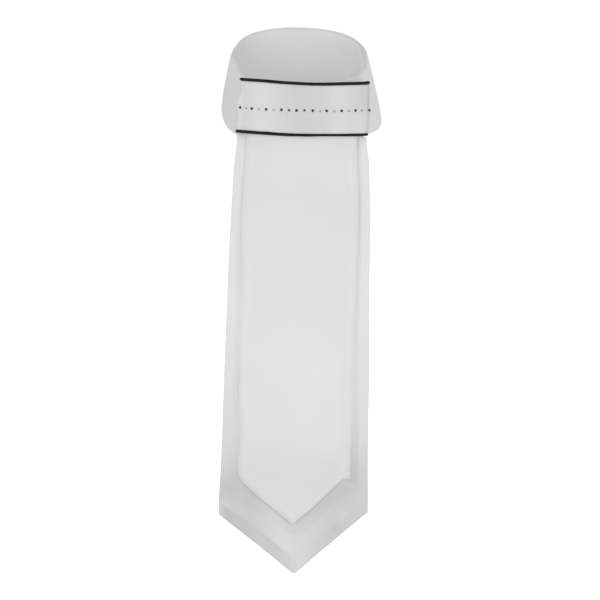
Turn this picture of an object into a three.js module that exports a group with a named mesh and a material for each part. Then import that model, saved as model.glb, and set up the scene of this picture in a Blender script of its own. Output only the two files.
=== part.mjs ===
// Ready-tied riding stock: a neckband, a piped keeper set with stones, and two pointed tails.
// Millimetres, +Z up, the front faces -Y, and +X is the viewer's right.
// The origin is the middle of the neck opening.
import * as THREE from "three";

// Gap between pieces that touch on the real tie
const GAP = 0.35;

// Cloth walls
const BAND_WALL = 1.8;
const TAIL_WALL = 1.6;
const KEEPER_WALL = 1.4;

// Neckband: plan of its top edge and its foot edge, half width and depth to the front and the back
// roundFront and roundBack are the exponents of the outline: 2 is an ellipse, more is squarer
const BAND_TOP = { half: 59.6, front: 53.0, back: 59.0, roundFront: 3.2, roundBack: 2.25 };
const BAND_FOOT = { half: 69.0, front: 53.5, back: 62.0, roundFront: 2.4, roundBack: 2.15 };
// Height of each edge at the front, and how steeply it climbs to the nape
const BAND_TOP_HEIGHT = 6.2;
const BAND_TOP_TILT = THREE.MathUtils.degToRad(19.6);
const BAND_FOOT_HEIGHT = -44.0;
const BAND_FOOT_TILT = THREE.MathUtils.degToRad(19.5);
// The strap starts inside on the right, goes once round and laps over itself behind the nape.
// Angles are in degrees from the front centre, growing to the viewer's right.
const LAP_START = 112;
const LAP_LENGTH = 84;
// Over this many degrees past the lap the inner end swings out to the full ring
const LAP_EASE = 40;
// Over this many degrees the inner end and the outer end draw in to lie against the other lap
const INNER_TUCK = 26;
const OUTER_TUCK = 15;
// How the worn ring leaves the plain outline, by angle: drop and spread of the foot edge,
// lift and spread of the top edge
const BAND_SETTLE = [
  { angle: 0, footDrop: 0.0, footSpread: 0.0, topLift: -4.2, topSpread: 0.0 },
  { angle: 45, footDrop: 1.5, footSpread: 0.0, topLift: -2.8, topSpread: -1.0 },
  { angle: 75, footDrop: 4.5, footSpread: 0.6, topLift: 0.3, topSpread: -2.6 },
  { angle: 95, footDrop: 4.0, footSpread: 0.6, topLift: 0.8, topSpread: -3.0 },
  { angle: 130, footDrop: 1.0, footSpread: 0.0, topLift: 1.3, topSpread: -2.6 },
  { angle: 180, footDrop: 0.0, footSpread: 0.0, topLift: 0.9, topSpread: 0.0 },
  { angle: 230, footDrop: 0.0, footSpread: 0.5, topLift: 0.2, topSpread: 1.0 },
  { angle: 265, footDrop: -2.0, footSpread: 0.6, topLift: -0.4, topSpread: 1.8 },
  { angle: 290, footDrop: 3.4, footSpread: 0.8, topLift: 0.0, topSpread: 1.8 },
  { angle: 312, footDrop: 7.0, footSpread: -0.2, topLift: -5.4, topSpread: -0.6 },
  { angle: 360, footDrop: 0.0, footSpread: 0.0, topLift: -4.2, topSpread: 0.0 },
];

// Fastening pad between the two laps: angles it covers and its share of the band's height
const PAD_WALL = 1.4;
const PAD = { from: 140, to: 180, low: 0.3, high: 0.72 };

// Keeper: plan of its outer face, the height of its middle and half the height of its cloth
const KEEPER_PLAN = { half: 72.0, front: 61.0, round: 2.6 };
const KEEPER_LEVEL = -19.0;
const KEEPER_HALF_HEIGHT = 20.4;
// The front wall ends here on each side and folds round the tails in a half circle
const KEEPER_FRONT_END = 53.0;
// The middle of the keeper hangs this much lower than its ends
const KEEPER_SAG = 0.7;

// Piping along the keeper's edges, and how far round each fold it runs
const PIPING_TOP_DIAMETER = 2.5;
const PIPING_FOOT_DIAMETER = 2.1;
const PIPING_FOLD_TURN = THREE.MathUtils.degToRad(105);

// Stones along the keeper, dark and clear by turns from end to end, a little below its middle
const STONE_COUNT = 19;
const STONE_DROP = 1.1;
const STONE_PITCH = 6.35;
const JET_STONE = { diameter: 2.3, girdle: 0.25, height: 0.95, table: 0.5 };
const CLEAR_STONE = { diameter: 2.1, girdle: 0.25, height: 0.9, table: 0.5 };
const STONE_FACETS = 8;

// Depth of each layer's middle behind the keeper's outer face
const FRONT_TAIL_INSET = KEEPER_WALL + GAP + TAIL_WALL / 2;
const BACK_TAIL_INSET = FRONT_TAIL_INSET + TAIL_WALL + GAP;
const KEEPER_BACK_INSET = BACK_TAIL_INSET + TAIL_WALL / 2 + GAP + KEEPER_WALL / 2;
const KEEPER_BACK_FACE = KEEPER_BACK_INSET + KEEPER_WALL / 2;

// Tails, one row for each level: half width, how far forward the centre lies,
// how far the side edges fall back behind it, and how much of the keeper's curve is left
const FRONT_TAIL = [
  { level: 0, half: 46.8, front: 57.8, crown: 9.0, curve: 1.0 },
  { level: -43, half: 46.8, front: 57.8, crown: 9.0, curve: 1.0 },
  { level: -50, half: 47.8, front: 59.4, crown: 9.0, curve: 0.85 },
  { level: -75, half: 49.0, front: 61.2, crown: 7.5, curve: 0.3 },
  { level: -120, half: 50.6, front: 62.0, crown: 6.0, curve: 0.0 },
  { level: -230, half: 50.0, front: 62.4, crown: 4.8, curve: 0.0 },
  { level: -400, half: 48.4, front: 61.0, crown: 4.0, curve: 0.0 },
];
const FRONT_TAIL_TIP = { level: -379.6, rise: 42.0 };
const BACK_TAIL = [
  { level: 0, half: 50.2, front: 55.9, crown: 11.0, curve: 1.0 },
  { level: -42, half: 50.4, front: 55.9, crown: 11.0, curve: 1.0 },
  { level: -44.5, half: 54.6, front: 56.2, crown: 11.0, curve: 0.95 },
  { level: -58, half: 56.5, front: 56.5, crown: 10.0, curve: 0.7 },
  { level: -80, half: 57.8, front: 56.6, crown: 8.5, curve: 0.3 },
  { level: -120, half: 59.2, front: 56.2, crown: 6.5, curve: 0.0 },
  { level: -230, half: 61.7, front: 55.4, crown: 4.5, curve: 0.0 },
  { level: -400, half: 65.8, front: 54.0, crown: 3.5, curve: 0.0 },
];
const BACK_TAIL_TIP = { level: -422.8, rise: 52.8 };
// The tails hang this far to the left of the keeper's centre, from just below it downwards
const TAIL_SIDE_SHIFT = [
  { level: 0, shift: 0.0 },
  { level: -41, shift: 0.0 },
  { level: -48, shift: 0.5 },
  { level: -250, shift: 0.8 },
  { level: -400, shift: 1.2 },
];
const TAIL_TOP_LEVEL = KEEPER_LEVEL + KEEPER_HALF_HEIGHT - 1.0;
// Heights of the grid's rows, close together where the cloth leaves the keeper
const TAIL_ROWS = [
  -16, -32, -42, -44.5, -48, -54, -64, -78, -96, -120, -150, -185, -225, -270, -315, -360, -395,
];
// Below this level the rows bend towards the pointed end, and the last row is at least this tall
const TAIL_BEND_LEVEL = -96;
const LAST_ROW_HEIGHT = 17;

// Grid steps of the other cloth walls, of the keeper's plan path and of the piping
const BAND_GRID = { columns: 84, rows: 4 };
const PAD_GRID = { columns: 8, rows: 2 };
const KEEPER_GRID = { frontSteps: 26, foldSteps: 6, rows: 4 };
const PIPING_GRID = { steps: 52, sectionSteps: 5 };
const TAIL_COLUMNS = 18;
// Fine steps of the path along which the stones are spaced
const STONE_PATH = { frontSteps: 400, foldSteps: 40 };

// Smooth curve through one column of a table, read at one place
function readTable(table, key, column, at) {
  const down = table[1][key] < table[0][key] ? -1 : 1;
  let row = 1;
  while (row < table.length - 1 && (table[row][key] - at) * down < 0) row += 1;
  const slopeOf = (k) => (table[k][column] - table[k - 1][column]) / (table[k][key] - table[k - 1][key]);
  const blended = (k) => {
    if (k === 0) return slopeOf(1);
    if (k === table.length - 1) return slopeOf(k);
    const before = slopeOf(k);
    const after = slopeOf(k + 1);
    return before * after <= 0 ? 0 : (2 * before * after) / (before + after);
  };
  const from = table[row - 1];
  const to = table[row];
  const step = to[key] - from[key];
  const s = THREE.MathUtils.clamp((at - from[key]) / step, 0, 1);
  const rise = to[column] - from[column];
  const bend = s * (1 - s);
  const eased = s * s * (3 - 2 * s);
  return from[column] + rise * eased + step * bend * ((1 - s) * blended(row - 1) - s * blended(row));
}

// Share of a grid step over which a wall's direction is measured
const NORMAL_STEP = 0.2;

// Closed cloth wall round a middle surface(u, v), sampled on a grid and thickened along its normals
function clothWall(surface, columns, rows, thickness, loop = false) {
  const across = loop ? columns : columns + 1;
  const wrap = (u) => (loop ? (u + 1) % 1 : THREE.MathUtils.clamp(u, 0, 1));
  const normalAt = (u, v) => {
    const du = NORMAL_STEP / columns;
    const dv = NORMAL_STEP / rows;
    const alongU = surface(wrap(u + du), v).sub(surface(wrap(u - du), v));
    const alongV = surface(u, Math.min(v + dv, 1)).sub(surface(u, Math.max(v - dv, 0)));
    return alongU.cross(alongV).normalize();
  };
  const places = [];
  for (const side of [-0.5, 0.5]) {
    for (let j = 0; j <= rows; j += 1) {
      for (let i = 0; i < across; i += 1) {
        const u = i / columns;
        const v = j / rows;
        const place = surface(u, v).addScaledVector(normalAt(u, v), side * thickness);
        places.push(place.x, place.y, place.z);
      }
    }
  }
  const index = (side, i, j) => side * across * (rows + 1) + j * across + (i % across);
  const faces = [];
  const quad = (a, b, c, d) => faces.push(a, b, c, a, c, d);
  for (let j = 0; j < rows; j += 1) {
    for (let i = 0; i < columns; i += 1) {
      quad(index(1, i, j), index(1, i + 1, j), index(1, i + 1, j + 1), index(1, i, j + 1));
      quad(index(0, i, j), index(0, i, j + 1), index(0, i + 1, j + 1), index(0, i + 1, j));
    }
  }
  for (let i = 0; i < columns; i += 1) {
    quad(index(0, i, 0), index(0, i + 1, 0), index(1, i + 1, 0), index(1, i, 0));
    quad(index(1, i, rows), index(1, i + 1, rows), index(0, i + 1, rows), index(0, i, rows));
  }
  if (!loop) {
    for (let j = 0; j < rows; j += 1) {
      quad(index(1, 0, j), index(1, 0, j + 1), index(0, 0, j + 1), index(0, 0, j));
      quad(index(0, columns, j), index(0, columns, j + 1), index(1, columns, j + 1), index(1, columns, j));
    }
  }
  const geometry = new THREE.BufferGeometry();
  geometry.setAttribute("position", new THREE.Float32BufferAttribute(places, 3));
  geometry.setIndex(faces);
  geometry.computeVertexNormals();
  return geometry;
}

// Neckband: one edge of the ring at an angle, moved in from the outer face by an inset
function bandEdge(plan, height, tilt, angle, inset, spread, lift) {
  const turn = THREE.MathUtils.degToRad(angle);
  const sine = Math.sin(turn);
  const cosine = Math.cos(turn);
  const ahead = cosine > 0;
  const round = ahead ? plan.roundFront : plan.roundBack;
  const depth = (ahead ? plan.front : plan.back) - inset;
  const share = (Math.abs(sine) / (plan.half - inset)) ** round + (Math.abs(cosine) / depth) ** round;
  const reach = share ** (-1 / round) + spread;
  const y = -reach * cosine;
  const climb = plan.front - (reach + inset) * cosine;
  return new THREE.Vector3(reach * sine, y, height + climb * Math.tan(tilt) + lift);
}

// Neckband: middle surface at an angle and a share of the height, from foot 0 to top 1
function bandPoint(angle, share, inset) {
  const settle = (column) => readTable(BAND_SETTLE, "angle", column, angle % 360);
  const foot = bandEdge(
    BAND_FOOT, BAND_FOOT_HEIGHT, BAND_FOOT_TILT, angle, inset, settle("footSpread"), -settle("footDrop"));
  const top = bandEdge(
    BAND_TOP, BAND_TOP_HEIGHT, BAND_TOP_TILT, angle, inset, settle("topSpread"), settle("topLift"));
  return foot.lerp(top, share);
}

// Neckband: how far inside the ring's outer face the middle of the strap runs, by its angle along the strap
function strapInset(angle) {
  const outer = BAND_WALL / 2;
  const inner = outer + BAND_WALL + PAD_WALL + 2 * GAP;
  const lapEnd = LAP_START + LAP_LENGTH;
  const strapEnd = lapEnd + 360;
  const released = THREE.MathUtils.smoothstep(angle, lapEnd, lapEnd + LAP_EASE);
  const innerEnd = 1 - THREE.MathUtils.smoothstep(angle, LAP_START, LAP_START + INNER_TUCK);
  const outerEnd = THREE.MathUtils.smoothstep(angle, strapEnd - OUTER_TUCK, strapEnd);
  return THREE.MathUtils.lerp(inner, outer, released) + PAD_WALL * (outerEnd - innerEnd);
}

function makeNeckband() {
  const surface = (u, v) => {
    const angle = LAP_START + u * (360 + LAP_LENGTH);
    return bandPoint(angle, v, strapInset(angle));
  };
  return clothWall(surface, BAND_GRID.columns, BAND_GRID.rows, BAND_WALL);
}

function makePad() {
  const inset = BAND_WALL + GAP + PAD_WALL / 2;
  const surface = (u, v) => bandPoint(
    THREE.MathUtils.lerp(PAD.from, PAD.to, u), THREE.MathUtils.lerp(PAD.low, PAD.high, v), inset);
  return clothWall(surface, PAD_GRID.columns, PAD_GRID.rows, PAD_WALL);
}

// Keeper: how far forward its outer face lies at x
function faceDepth(x) {
  const share = Math.abs(x) / KEEPER_PLAN.half;
  return KEEPER_PLAN.front * (1 - share ** KEEPER_PLAN.round) ** (1 / KEEPER_PLAN.round);
}

// Keeper: outward direction of its outer face in plan
function keeperOutward(x) {
  const step = 0.05;
  const slope = (faceDepth(x - step) - faceDepth(x + step)) / (2 * step);
  return new THREE.Vector2(slope, -1).normalize();
}

// Keeper: how far forward the layer lies that runs parallel to the outer face, an inset behind it
function layerDepth(x, inset) {
  const parallelSteps = 8;
  let face = x;
  for (let k = 0; k < parallelSteps; k += 1) face = x + inset * keeperOutward(face).x;
  return faceDepth(face) + inset * keeperOutward(face).y;
}

// Keeper: height of its middle line, a little lower at the centre than at the ends
function keeperHeight(x) {
  return KEEPER_LEVEL - KEEPER_SAG * (1 - (x / KEEPER_FRONT_END) ** 2);
}

// Keeper: plan points from the left fold over the front to the right fold, and back behind the tails.
// foldTurn says how far round each fold the path runs: a half circle where it is closed.
function keeperPath(inset, backInset, grid, foldTurn, closed) {
  const { frontSteps, foldSteps } = grid;
  const foldAt = (side) => {
    const end = side * KEEPER_FRONT_END;
    const outward = keeperOutward(end);
    const face = new THREE.Vector2(end, -faceDepth(end));
    const near = face.clone().addScaledVector(outward, -inset);
    const far = face.clone().addScaledVector(outward, -backInset);
    const centre = near.clone().add(far).multiplyScalar(0.5);
    const radius = near.distanceTo(far) / 2;
    const along = new THREE.Vector2(-outward.y * side, outward.x * side);
    const places = [];
    for (let k = 0; k <= foldSteps; k += 1) {
      const turn = (foldTurn * k) / foldSteps;
      const place = centre.clone().addScaledVector(outward, radius * Math.cos(turn));
      places.push(place.addScaledVector(along, radius * Math.sin(turn)));
    }
    return places;
  };
  const right = foldAt(1);
  const left = foldAt(-1).reverse();
  const wall = (from, to, insetHere) => {
    const places = [];
    for (let k = 1; k < frontSteps; k += 1) {
      const x = THREE.MathUtils.lerp(from.x, to.x, k / frontSteps);
      places.push(new THREE.Vector2(x, -layerDepth(x, insetHere)));
    }
    return places;
  };
  const front = wall(left[left.length - 1], right[0], inset);
  const back = closed ? wall(right[right.length - 1], left[0], backInset) : [];
  return [...left, ...front, ...right, ...back];
}

function makeKeeper() {
  const path = keeperPath(KEEPER_WALL / 2, KEEPER_BACK_INSET, KEEPER_GRID, Math.PI, true);
  const surface = (u, v) => {
    const place = u * path.length;
    const before = Math.floor(place) % path.length;
    const plan = path[before].clone().lerp(path[(before + 1) % path.length], place - Math.floor(place));
    const height = keeperHeight(plan.x) + THREE.MathUtils.lerp(-1, 1, v) * KEEPER_HALF_HEIGHT;
    return new THREE.Vector3(plan.x, plan.y, height);
  };
  return clothWall(surface, path.length, KEEPER_GRID.rows, KEEPER_WALL, true);
}

// Piping: a cord that follows the keeper's outer face along one edge and round both folds
function makePiping(side, diameter) {
  const path = keeperPath(0, KEEPER_BACK_FACE, KEEPER_GRID, PIPING_FOLD_TURN, false);
  const rise = side * (KEEPER_HALF_HEIGHT + GAP + diameter / 2);
  const places = path.map((plan) => new THREE.Vector3(plan.x, plan.y, keeperHeight(plan.x) + rise));
  const section = new THREE.Shape();
  section.absarc(0, 0, diameter / 2, 0, 2 * Math.PI);
  return new THREE.ExtrudeGeometry(section, {
    steps: PIPING_GRID.steps,
    curveSegments: PIPING_GRID.sectionSteps,
    extrudePath: new THREE.CatmullRomCurve3(places),
  });
}

// Tail: middle surface, from its top edge inside the keeper down to its pointed end
function tailSurface(table, inset, tip) {
  const between = TAIL_ROWS.filter((level) => level > tip.level + LAST_ROW_HEIGHT);
  const levels = [TAIL_TOP_LEVEL, ...between, tip.level];
  const rows = levels.length - 1;
  const surface = (u, v) => {
    const across = 2 * u - 1;
    const row = Math.min(Math.floor(v * rows), rows - 1);
    const level = THREE.MathUtils.lerp(levels[row], levels[row + 1], v * rows - row);
    const bent = Math.max(0, (TAIL_BEND_LEVEL - level) / (TAIL_BEND_LEVEL - tip.level));
    const z = level + tip.rise * bent * Math.abs(across);
    const x = across * readTable(table, "level", "half", z) - readTable(TAIL_SIDE_SHIFT, "level", "shift", z);
    const curved = layerDepth(x, inset);
    const hanging = readTable(table, "level", "front", z)
      - readTable(table, "level", "crown", z) * across * across;
    const curve = readTable(table, "level", "curve", z);
    return new THREE.Vector3(x, -THREE.MathUtils.lerp(hanging, curved, curve), z);
  };
  return { surface, rows };
}

function makeTail(table, inset, tip) {
  const { surface, rows } = tailSurface(table, inset, tip);
  return clothWall(surface, TAIL_COLUMNS, rows, TAIL_WALL);
}

// Stone: a flat back, a girdle, a ring of crown facets and a table, standing along +Y
function makeStone(stone) {
  const radius = stone.diameter / 2;
  const profile = [
    new THREE.Vector2(0, 0),
    new THREE.Vector2(radius, 0),
    new THREE.Vector2(radius, stone.girdle),
    new THREE.Vector2(radius * stone.table, stone.height),
    new THREE.Vector2(0, stone.height),
  ];
  return new THREE.LatheGeometry(profile, STONE_FACETS);
}

// Places at equal steps of length along the keeper's outer face, counted from its centre
function stonePlaces() {
  const path = keeperPath(0, KEEPER_BACK_FACE, STONE_PATH, Math.PI / 2, false);
  const lengths = [0];
  for (let k = 1; k < path.length; k += 1) lengths.push(lengths[k - 1] + path[k].distanceTo(path[k - 1]));
  const middle = lengths[lengths.length - 1] / 2;
  const places = [];
  for (let k = 0; k < STONE_COUNT; k += 1) {
    const at = middle + (k - (STONE_COUNT - 1) / 2) * STONE_PITCH;
    const after = lengths.findIndex((length) => length > at);
    const along = path[after].clone().sub(path[after - 1]).normalize();
    places.push({ plan: path[after], outward: new THREE.Vector3(along.y, -along.x, 0) });
  }
  return places;
}

// Materials
const whiteCloth = { color: 0xf0efec, roughness: 0.62, metalness: 0.0 };
const MATERIALS = {
  neckband: whiteCloth,
  keeper: whiteCloth,
  tail: whiteCloth,
  pad: { color: 0xe4e3de, roughness: 0.9, metalness: 0.0 },
  piping: { color: 0x16161a, roughness: 0.55, metalness: 0.0 },
  jet: { color: 0x0b0b0e, roughness: 0.08, metalness: 0.0 },
  clear: { color: 0xe9eef2, roughness: 0.05, metalness: 0.0 },
};

const group = new THREE.Group();

function addPiece(name, geometry, material) {
  const mesh = new THREE.Mesh(geometry, new THREE.MeshStandardMaterial(MATERIALS[material]));
  mesh.name = name;
  group.add(mesh);
  return mesh;
}

addPiece("neckband", makeNeckband(), "neckband");
addPiece("closure_pad", makePad(), "pad");
addPiece("keeper", makeKeeper(), "keeper");
addPiece("piping_top", makePiping(1, PIPING_TOP_DIAMETER), "piping");
addPiece("piping_bottom", makePiping(-1, PIPING_FOOT_DIAMETER), "piping");
addPiece("front_tail", makeTail(FRONT_TAIL, FRONT_TAIL_INSET, FRONT_TAIL_TIP), "tail");
addPiece("back_tail", makeTail(BACK_TAIL, BACK_TAIL_INSET, BACK_TAIL_TIP), "tail");

stonePlaces().forEach(({ plan, outward }, k) => {
  const dark = k % 2 === 0;
  const number = String(Math.floor(k / 2) + 1).padStart(2, "0");
  const geometry = makeStone(dark ? JET_STONE : CLEAR_STONE);
  const stone = addPiece(`${dark ? "jet" : "clear"}_stone_${number}`, geometry, dark ? "jet" : "clear");
  stone.position.set(plan.x, plan.y, keeperHeight(plan.x) - STONE_DROP).addScaledVector(outward, GAP);
  stone.quaternion.setFromUnitVectors(new THREE.Vector3(0, 1, 0), outward);
});

export default group;
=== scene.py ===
# %% [markdown]
# A ready-tied riding stock, finished in Blender.
# The object is neckwear in white cotton: a neckband that laps over itself behind the nape, a keeper with
# black piping and a row of small stones in front, and two pointed tails that hang through the keeper.
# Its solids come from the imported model. The cloth solids are plain walls, so each gets a sewn piece in its
# place, with rolled edges, soft buckles and a weave. The tables are in millimetres, and Blender is in metres.

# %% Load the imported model
import math
from functools import partial

import bmesh
import bpy
import numpy as np
from mathutils import Matrix, Vector


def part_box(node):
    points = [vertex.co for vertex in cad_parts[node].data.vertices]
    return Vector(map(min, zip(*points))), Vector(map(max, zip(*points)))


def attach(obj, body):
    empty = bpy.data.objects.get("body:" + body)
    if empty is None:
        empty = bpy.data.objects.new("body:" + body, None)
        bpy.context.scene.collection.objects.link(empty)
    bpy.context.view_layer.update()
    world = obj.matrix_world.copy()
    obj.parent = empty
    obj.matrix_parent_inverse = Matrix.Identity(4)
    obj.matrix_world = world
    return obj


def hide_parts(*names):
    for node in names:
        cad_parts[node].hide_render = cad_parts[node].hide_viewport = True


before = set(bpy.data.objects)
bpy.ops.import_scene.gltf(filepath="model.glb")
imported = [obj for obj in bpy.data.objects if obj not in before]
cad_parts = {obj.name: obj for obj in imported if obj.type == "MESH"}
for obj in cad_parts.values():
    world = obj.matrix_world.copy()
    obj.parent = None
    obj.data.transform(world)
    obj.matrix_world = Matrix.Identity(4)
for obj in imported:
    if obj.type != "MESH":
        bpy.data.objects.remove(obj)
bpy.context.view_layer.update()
MM = 0.001

# %% [markdown]
# The camera stands where the photographer stood: almost straight in front and a little above. A long lens
# from 1.7 m keeps the two tails nearly parallel, as they are in the picture. The picture also leans by a
# little more than a degree, so the camera is rolled by that much.

# %% Place the camera
CAMERA_AIM = Vector((0.45, -60.0, -181.5)) * MM
CAMERA_DISTANCE = 1.7
CAMERA_AZIMUTH = math.radians(-2.0)
CAMERA_HEIGHT = math.radians(8.5)
CAMERA_ROLL = math.radians(1.33)
LENS_LENGTH, SENSOR_WIDTH = 120.0, 36.0


def camera_axes():
    """The camera's right, up and backward directions."""
    level = math.cos(CAMERA_HEIGHT)
    aside, ahead = math.sin(CAMERA_AZIMUTH) * level, math.cos(CAMERA_AZIMUTH) * level
    back = Vector((aside, -ahead, math.sin(CAMERA_HEIGHT)))
    right = (-back).cross(Vector((0, 0, 1))).normalized()
    up = right.cross(-back)
    turn = Matrix.Rotation(CAMERA_ROLL, 3, back)
    return turn @ right, turn @ up, back


right, up, back = camera_axes()
lens = bpy.data.cameras.new("photo_lens")
lens.lens = LENS_LENGTH
lens.sensor_width = SENSOR_WIDTH
camera = bpy.data.objects.new("photo_camera", lens)
bpy.context.scene.collection.objects.link(camera)
facing = Matrix((right, up, back)).transposed().to_4x4()
camera.matrix_world = Matrix.Translation(CAMERA_AIM + back * CAMERA_DISTANCE) @ facing
bpy.context.scene.camera = camera
print("camera at", [round(c, 3) for c in camera.location])

# %% [markdown]
# Every finish here is a tree of nodes, and so is the light of the surround. Written out one setting and one
# link at a time, a tree is hard to follow. These helpers add a node with its settings and inputs in one
# line, and read like the sum they make. An input that gets a number is set on the node itself, and one that
# gets another node's output is linked to it.

# %% Helpers for nodes
def fill(tree, node, inputs):
    """Gives a node's inputs their values, or links them to the outputs of other nodes."""
    for label, value in inputs.items():
        if isinstance(value, bpy.types.NodeSocket):
            tree.links.new(value, node.inputs[label])
        else:
            node.inputs[label].default_value = value


def add_node(tree, kind, inputs=None, **settings):
    """A new node of a kind, with its settings and then its inputs."""
    node = tree.nodes.new("ShaderNode" + kind)
    for label, value in settings.items():
        setattr(node, label, value)
    fill(tree, node, inputs or {})
    return node


def maths(tree, operation, *values):
    """The output of one Math node over numbers or outputs."""
    return add_node(tree, "Math", dict(enumerate(values)), operation=operation).outputs[0]


def new_material(name):
    """A node material, its tree and its Principled shader."""
    material = bpy.data.materials.new(name)
    material.use_nodes = True
    return material, material.node_tree, material.node_tree.nodes["Principled BSDF"]


def link_mesh(name, points, faces, smooth=True):
    """A mesh object in metres from points in millimetres."""
    mesh = bpy.data.meshes.new(name)
    places = np.asarray(points, float).reshape(-1, 3) * MM
    mesh.from_pydata(places.tolist(), [], [list(face) for face in faces])
    mesh.polygons.foreach_set("use_smooth", [smooth] * len(mesh.polygons))
    piece = bpy.data.objects.new(name, mesh)
    bpy.context.scene.collection.objects.link(piece)
    return piece


print("node helpers:", [helper.__name__ for helper in (fill, add_node, maths, new_material, link_mesh)])

# %% [markdown]
# The studio is a plain pale table and a bright surround, so the ground of the picture comes out white.
# The table is a round top with a soft rim, wide enough to fill every view. It glows a little and throws no
# light back on the cloth, because the picture shows no bounce from below.

# %% Floor
FLOOR_LEVEL, FLOOR_RADIUS, RIM_DROP = -470.0, 3200.0, 20.0
FLOOR_RINGS, FLOOR_SIDES = (0.25, 0.5, 0.8, 0.97, 1.0), 96
WHITE = (1.0, 1.0, 1.0, 1.0)


def build_floor():
    """Rings of quads round a middle point, with the last ring lower than the others."""
    points, faces = [(0.0, 0.0, FLOOR_LEVEL)], []
    turns = [2 * math.pi * k / FLOOR_SIDES for k in range(FLOOR_SIDES)]
    for ring in FLOOR_RINGS:
        reach = ring * FLOOR_RADIUS
        level = FLOOR_LEVEL - (RIM_DROP if ring == FLOOR_RINGS[-1] else 0.0)
        points += [(reach * math.cos(turn), reach * math.sin(turn), level) for turn in turns]
    for k in range(FLOOR_SIDES):
        after = (k + 1) % FLOOR_SIDES
        faces.append((0, 1 + k, 1 + after))
        for ring in range(len(FLOOR_RINGS) - 1):
            near, far = 1 + ring * FLOOR_SIDES, 1 + (ring + 1) * FLOOR_SIDES
            faces.append((near + k, far + k, far + after, near + after))
    return link_mesh("studio_floor", points, faces, smooth=False)


floor = build_floor()
pale_table, tree, shader = new_material("pale_table")
mottle = add_node(tree, "TexNoise", {"Scale": 3.0}).outputs["Fac"]
tint = add_node(tree, "MapRange", {"Value": mottle, "To Min": 0.90, "To Max": 0.93}).outputs["Result"]
fill(tree, shader, {"Base Color": tint, "Roughness": 0.8, "Specular IOR Level": 0.2})
fill(tree, shader, {"Emission Color": WHITE, "Emission Strength": 0.75})
floor.data.materials.append(pale_table)
floor.visible_diffuse = False
print("floor faces:", len(floor.data.polygons))

# %% [markdown]
# White cloth on white shows its form only where the light falls off. The picture has hardly a shadow, so
# most of the light is one even surround, a little stronger overhead, at the sides and in front. Lamps alone
# would draw edges that the picture doesn't show. The eye sees the surround as plain white, which a Light
# Path node keeps apart from the light that it gives.

# %% Surround
ALL_ROUND, SEEN_WHITE = 0.44, 1.05
LOBES = {
    "overhead": {"way": (0, 0, 1), "strength": 0.24},
    "left": {"way": (-1, 0, 0), "strength": 0.16},
    "right": {"way": (1, 0, 0), "strength": 0.22},
    "front": {"way": (0, -1, 0), "strength": 0.19},
}
world = bpy.data.worlds.new("bright_surround")
bpy.context.scene.world = world
world.use_nodes = True
sky = world.node_tree


def sky_lobe(way, strength):
    """Light that is strongest from one side and falls off to nothing square to it."""
    sides = {0: add_node(sky, "TexCoord").outputs["Generated"], 1: [c * strength for c in way]}
    toward = add_node(sky, "VectorMath", sides, operation="DOT_PRODUCT")
    return maths(sky, "MAXIMUM", toward.outputs["Value"], 0.0)


glow = ALL_ROUND
for lobe in LOBES.values():
    glow = maths(sky, "ADD", sky_lobe(**lobe), glow)
seen = sky.nodes["Background"]
fill(sky, seen, {"Color": WHITE, "Strength": SEEN_WHITE})
lit = add_node(sky, "Background", {"Color": WHITE, "Strength": glow})
eye_ray = add_node(sky, "LightPath").outputs["Is Camera Ray"]
either = add_node(sky, "MixShader", {"Fac": eye_ray, 1: lit.outputs[0], 2: seen.outputs[0]})
fill(sky, sky.nodes["World Output"], {"Surface": either.outputs[0]})
print("surround nodes:", len(sky.nodes))

# %% [markdown]
# Three large soft boxes stand before the object and lift the tails, the left one strongest. They are wide
# for their distance, so the edges of their light are too soft to see.

# %% Soft boxes
BOX_SIZE, BOX_AIM = 0.8, Vector((0.0, -0.05, -0.2))
SOFT_BOXES = {
    "box_front": {"place": (0.3, -1.45, -0.10), "power": 0.9},
    "box_left": {"place": (-0.7, -1.20, 0.10), "power": 2.1},
    "box_right": {"place": (0.8, -1.10, 0.10), "power": 1.15},
}
for name, box in SOFT_BOXES.items():
    light = bpy.data.lights.new(name, "AREA")
    light.shape = "SQUARE"
    light.size = BOX_SIZE
    light.energy = box["power"]
    lamp = bpy.data.objects.new(name, light)
    lamp.location = box["place"]
    lamp.rotation_euler = (BOX_AIM - lamp.location).to_track_quat("-Z", "Y").to_euler()
    bpy.context.scene.collection.objects.link(lamp)
bpy.context.scene.view_settings.view_transform = "Standard"
print("soft boxes:", list(SOFT_BOXES))

# %% [markdown]
# A sewn piece follows a few measured numbers, such as a tail's half width at some levels. Straight lines
# between them would show as kinks, and a free spline would swing past them. This curve keeps to the numbers
# and never bulges between them, so a maker can change one number and only its neighbourhood moves.

# %% Read a table as a smooth curve
def read_table(table, column, at):
    """One column of a table as a smooth curve over the table's first column, read at the places given."""
    keys, values = np.array(next(iter(table.values())), float), np.array(table[column], float)
    if keys[0] > keys[-1]:
        keys, values = keys[::-1], values[::-1]
    slopes = np.diff(values) / np.diff(keys)
    before, after = slopes[:-1], slopes[1:]
    same_way = before * after > 0
    inner = np.where(same_way, 2 * before * after / np.where(same_way, before + after, 1.0), 0.0)
    tangents = np.concatenate([slopes[:1], inner, slopes[-1:]])
    at = np.clip(np.asarray(at, float), keys[0], keys[-1])
    k = np.clip(np.searchsorted(keys, at, side="right") - 1, 0, len(keys) - 2)
    step = keys[k + 1] - keys[k]
    s = (at - keys[k]) / step
    eased = s * s * (3 - 2 * s)
    swing = step * s * (1 - s) * ((1 - s) * tangents[k] - s * tangents[k + 1])
    return values[k] + (values[k + 1] - values[k]) * eased + swing


def ease(at, start, end):
    """0 before start, 1 after end, and a soft step between them. Start may be above end."""
    s = np.clip((np.asarray(at, float) - start) / (end - start), 0.0, 1.0)
    return s * s * (3 - 2 * s)


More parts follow.
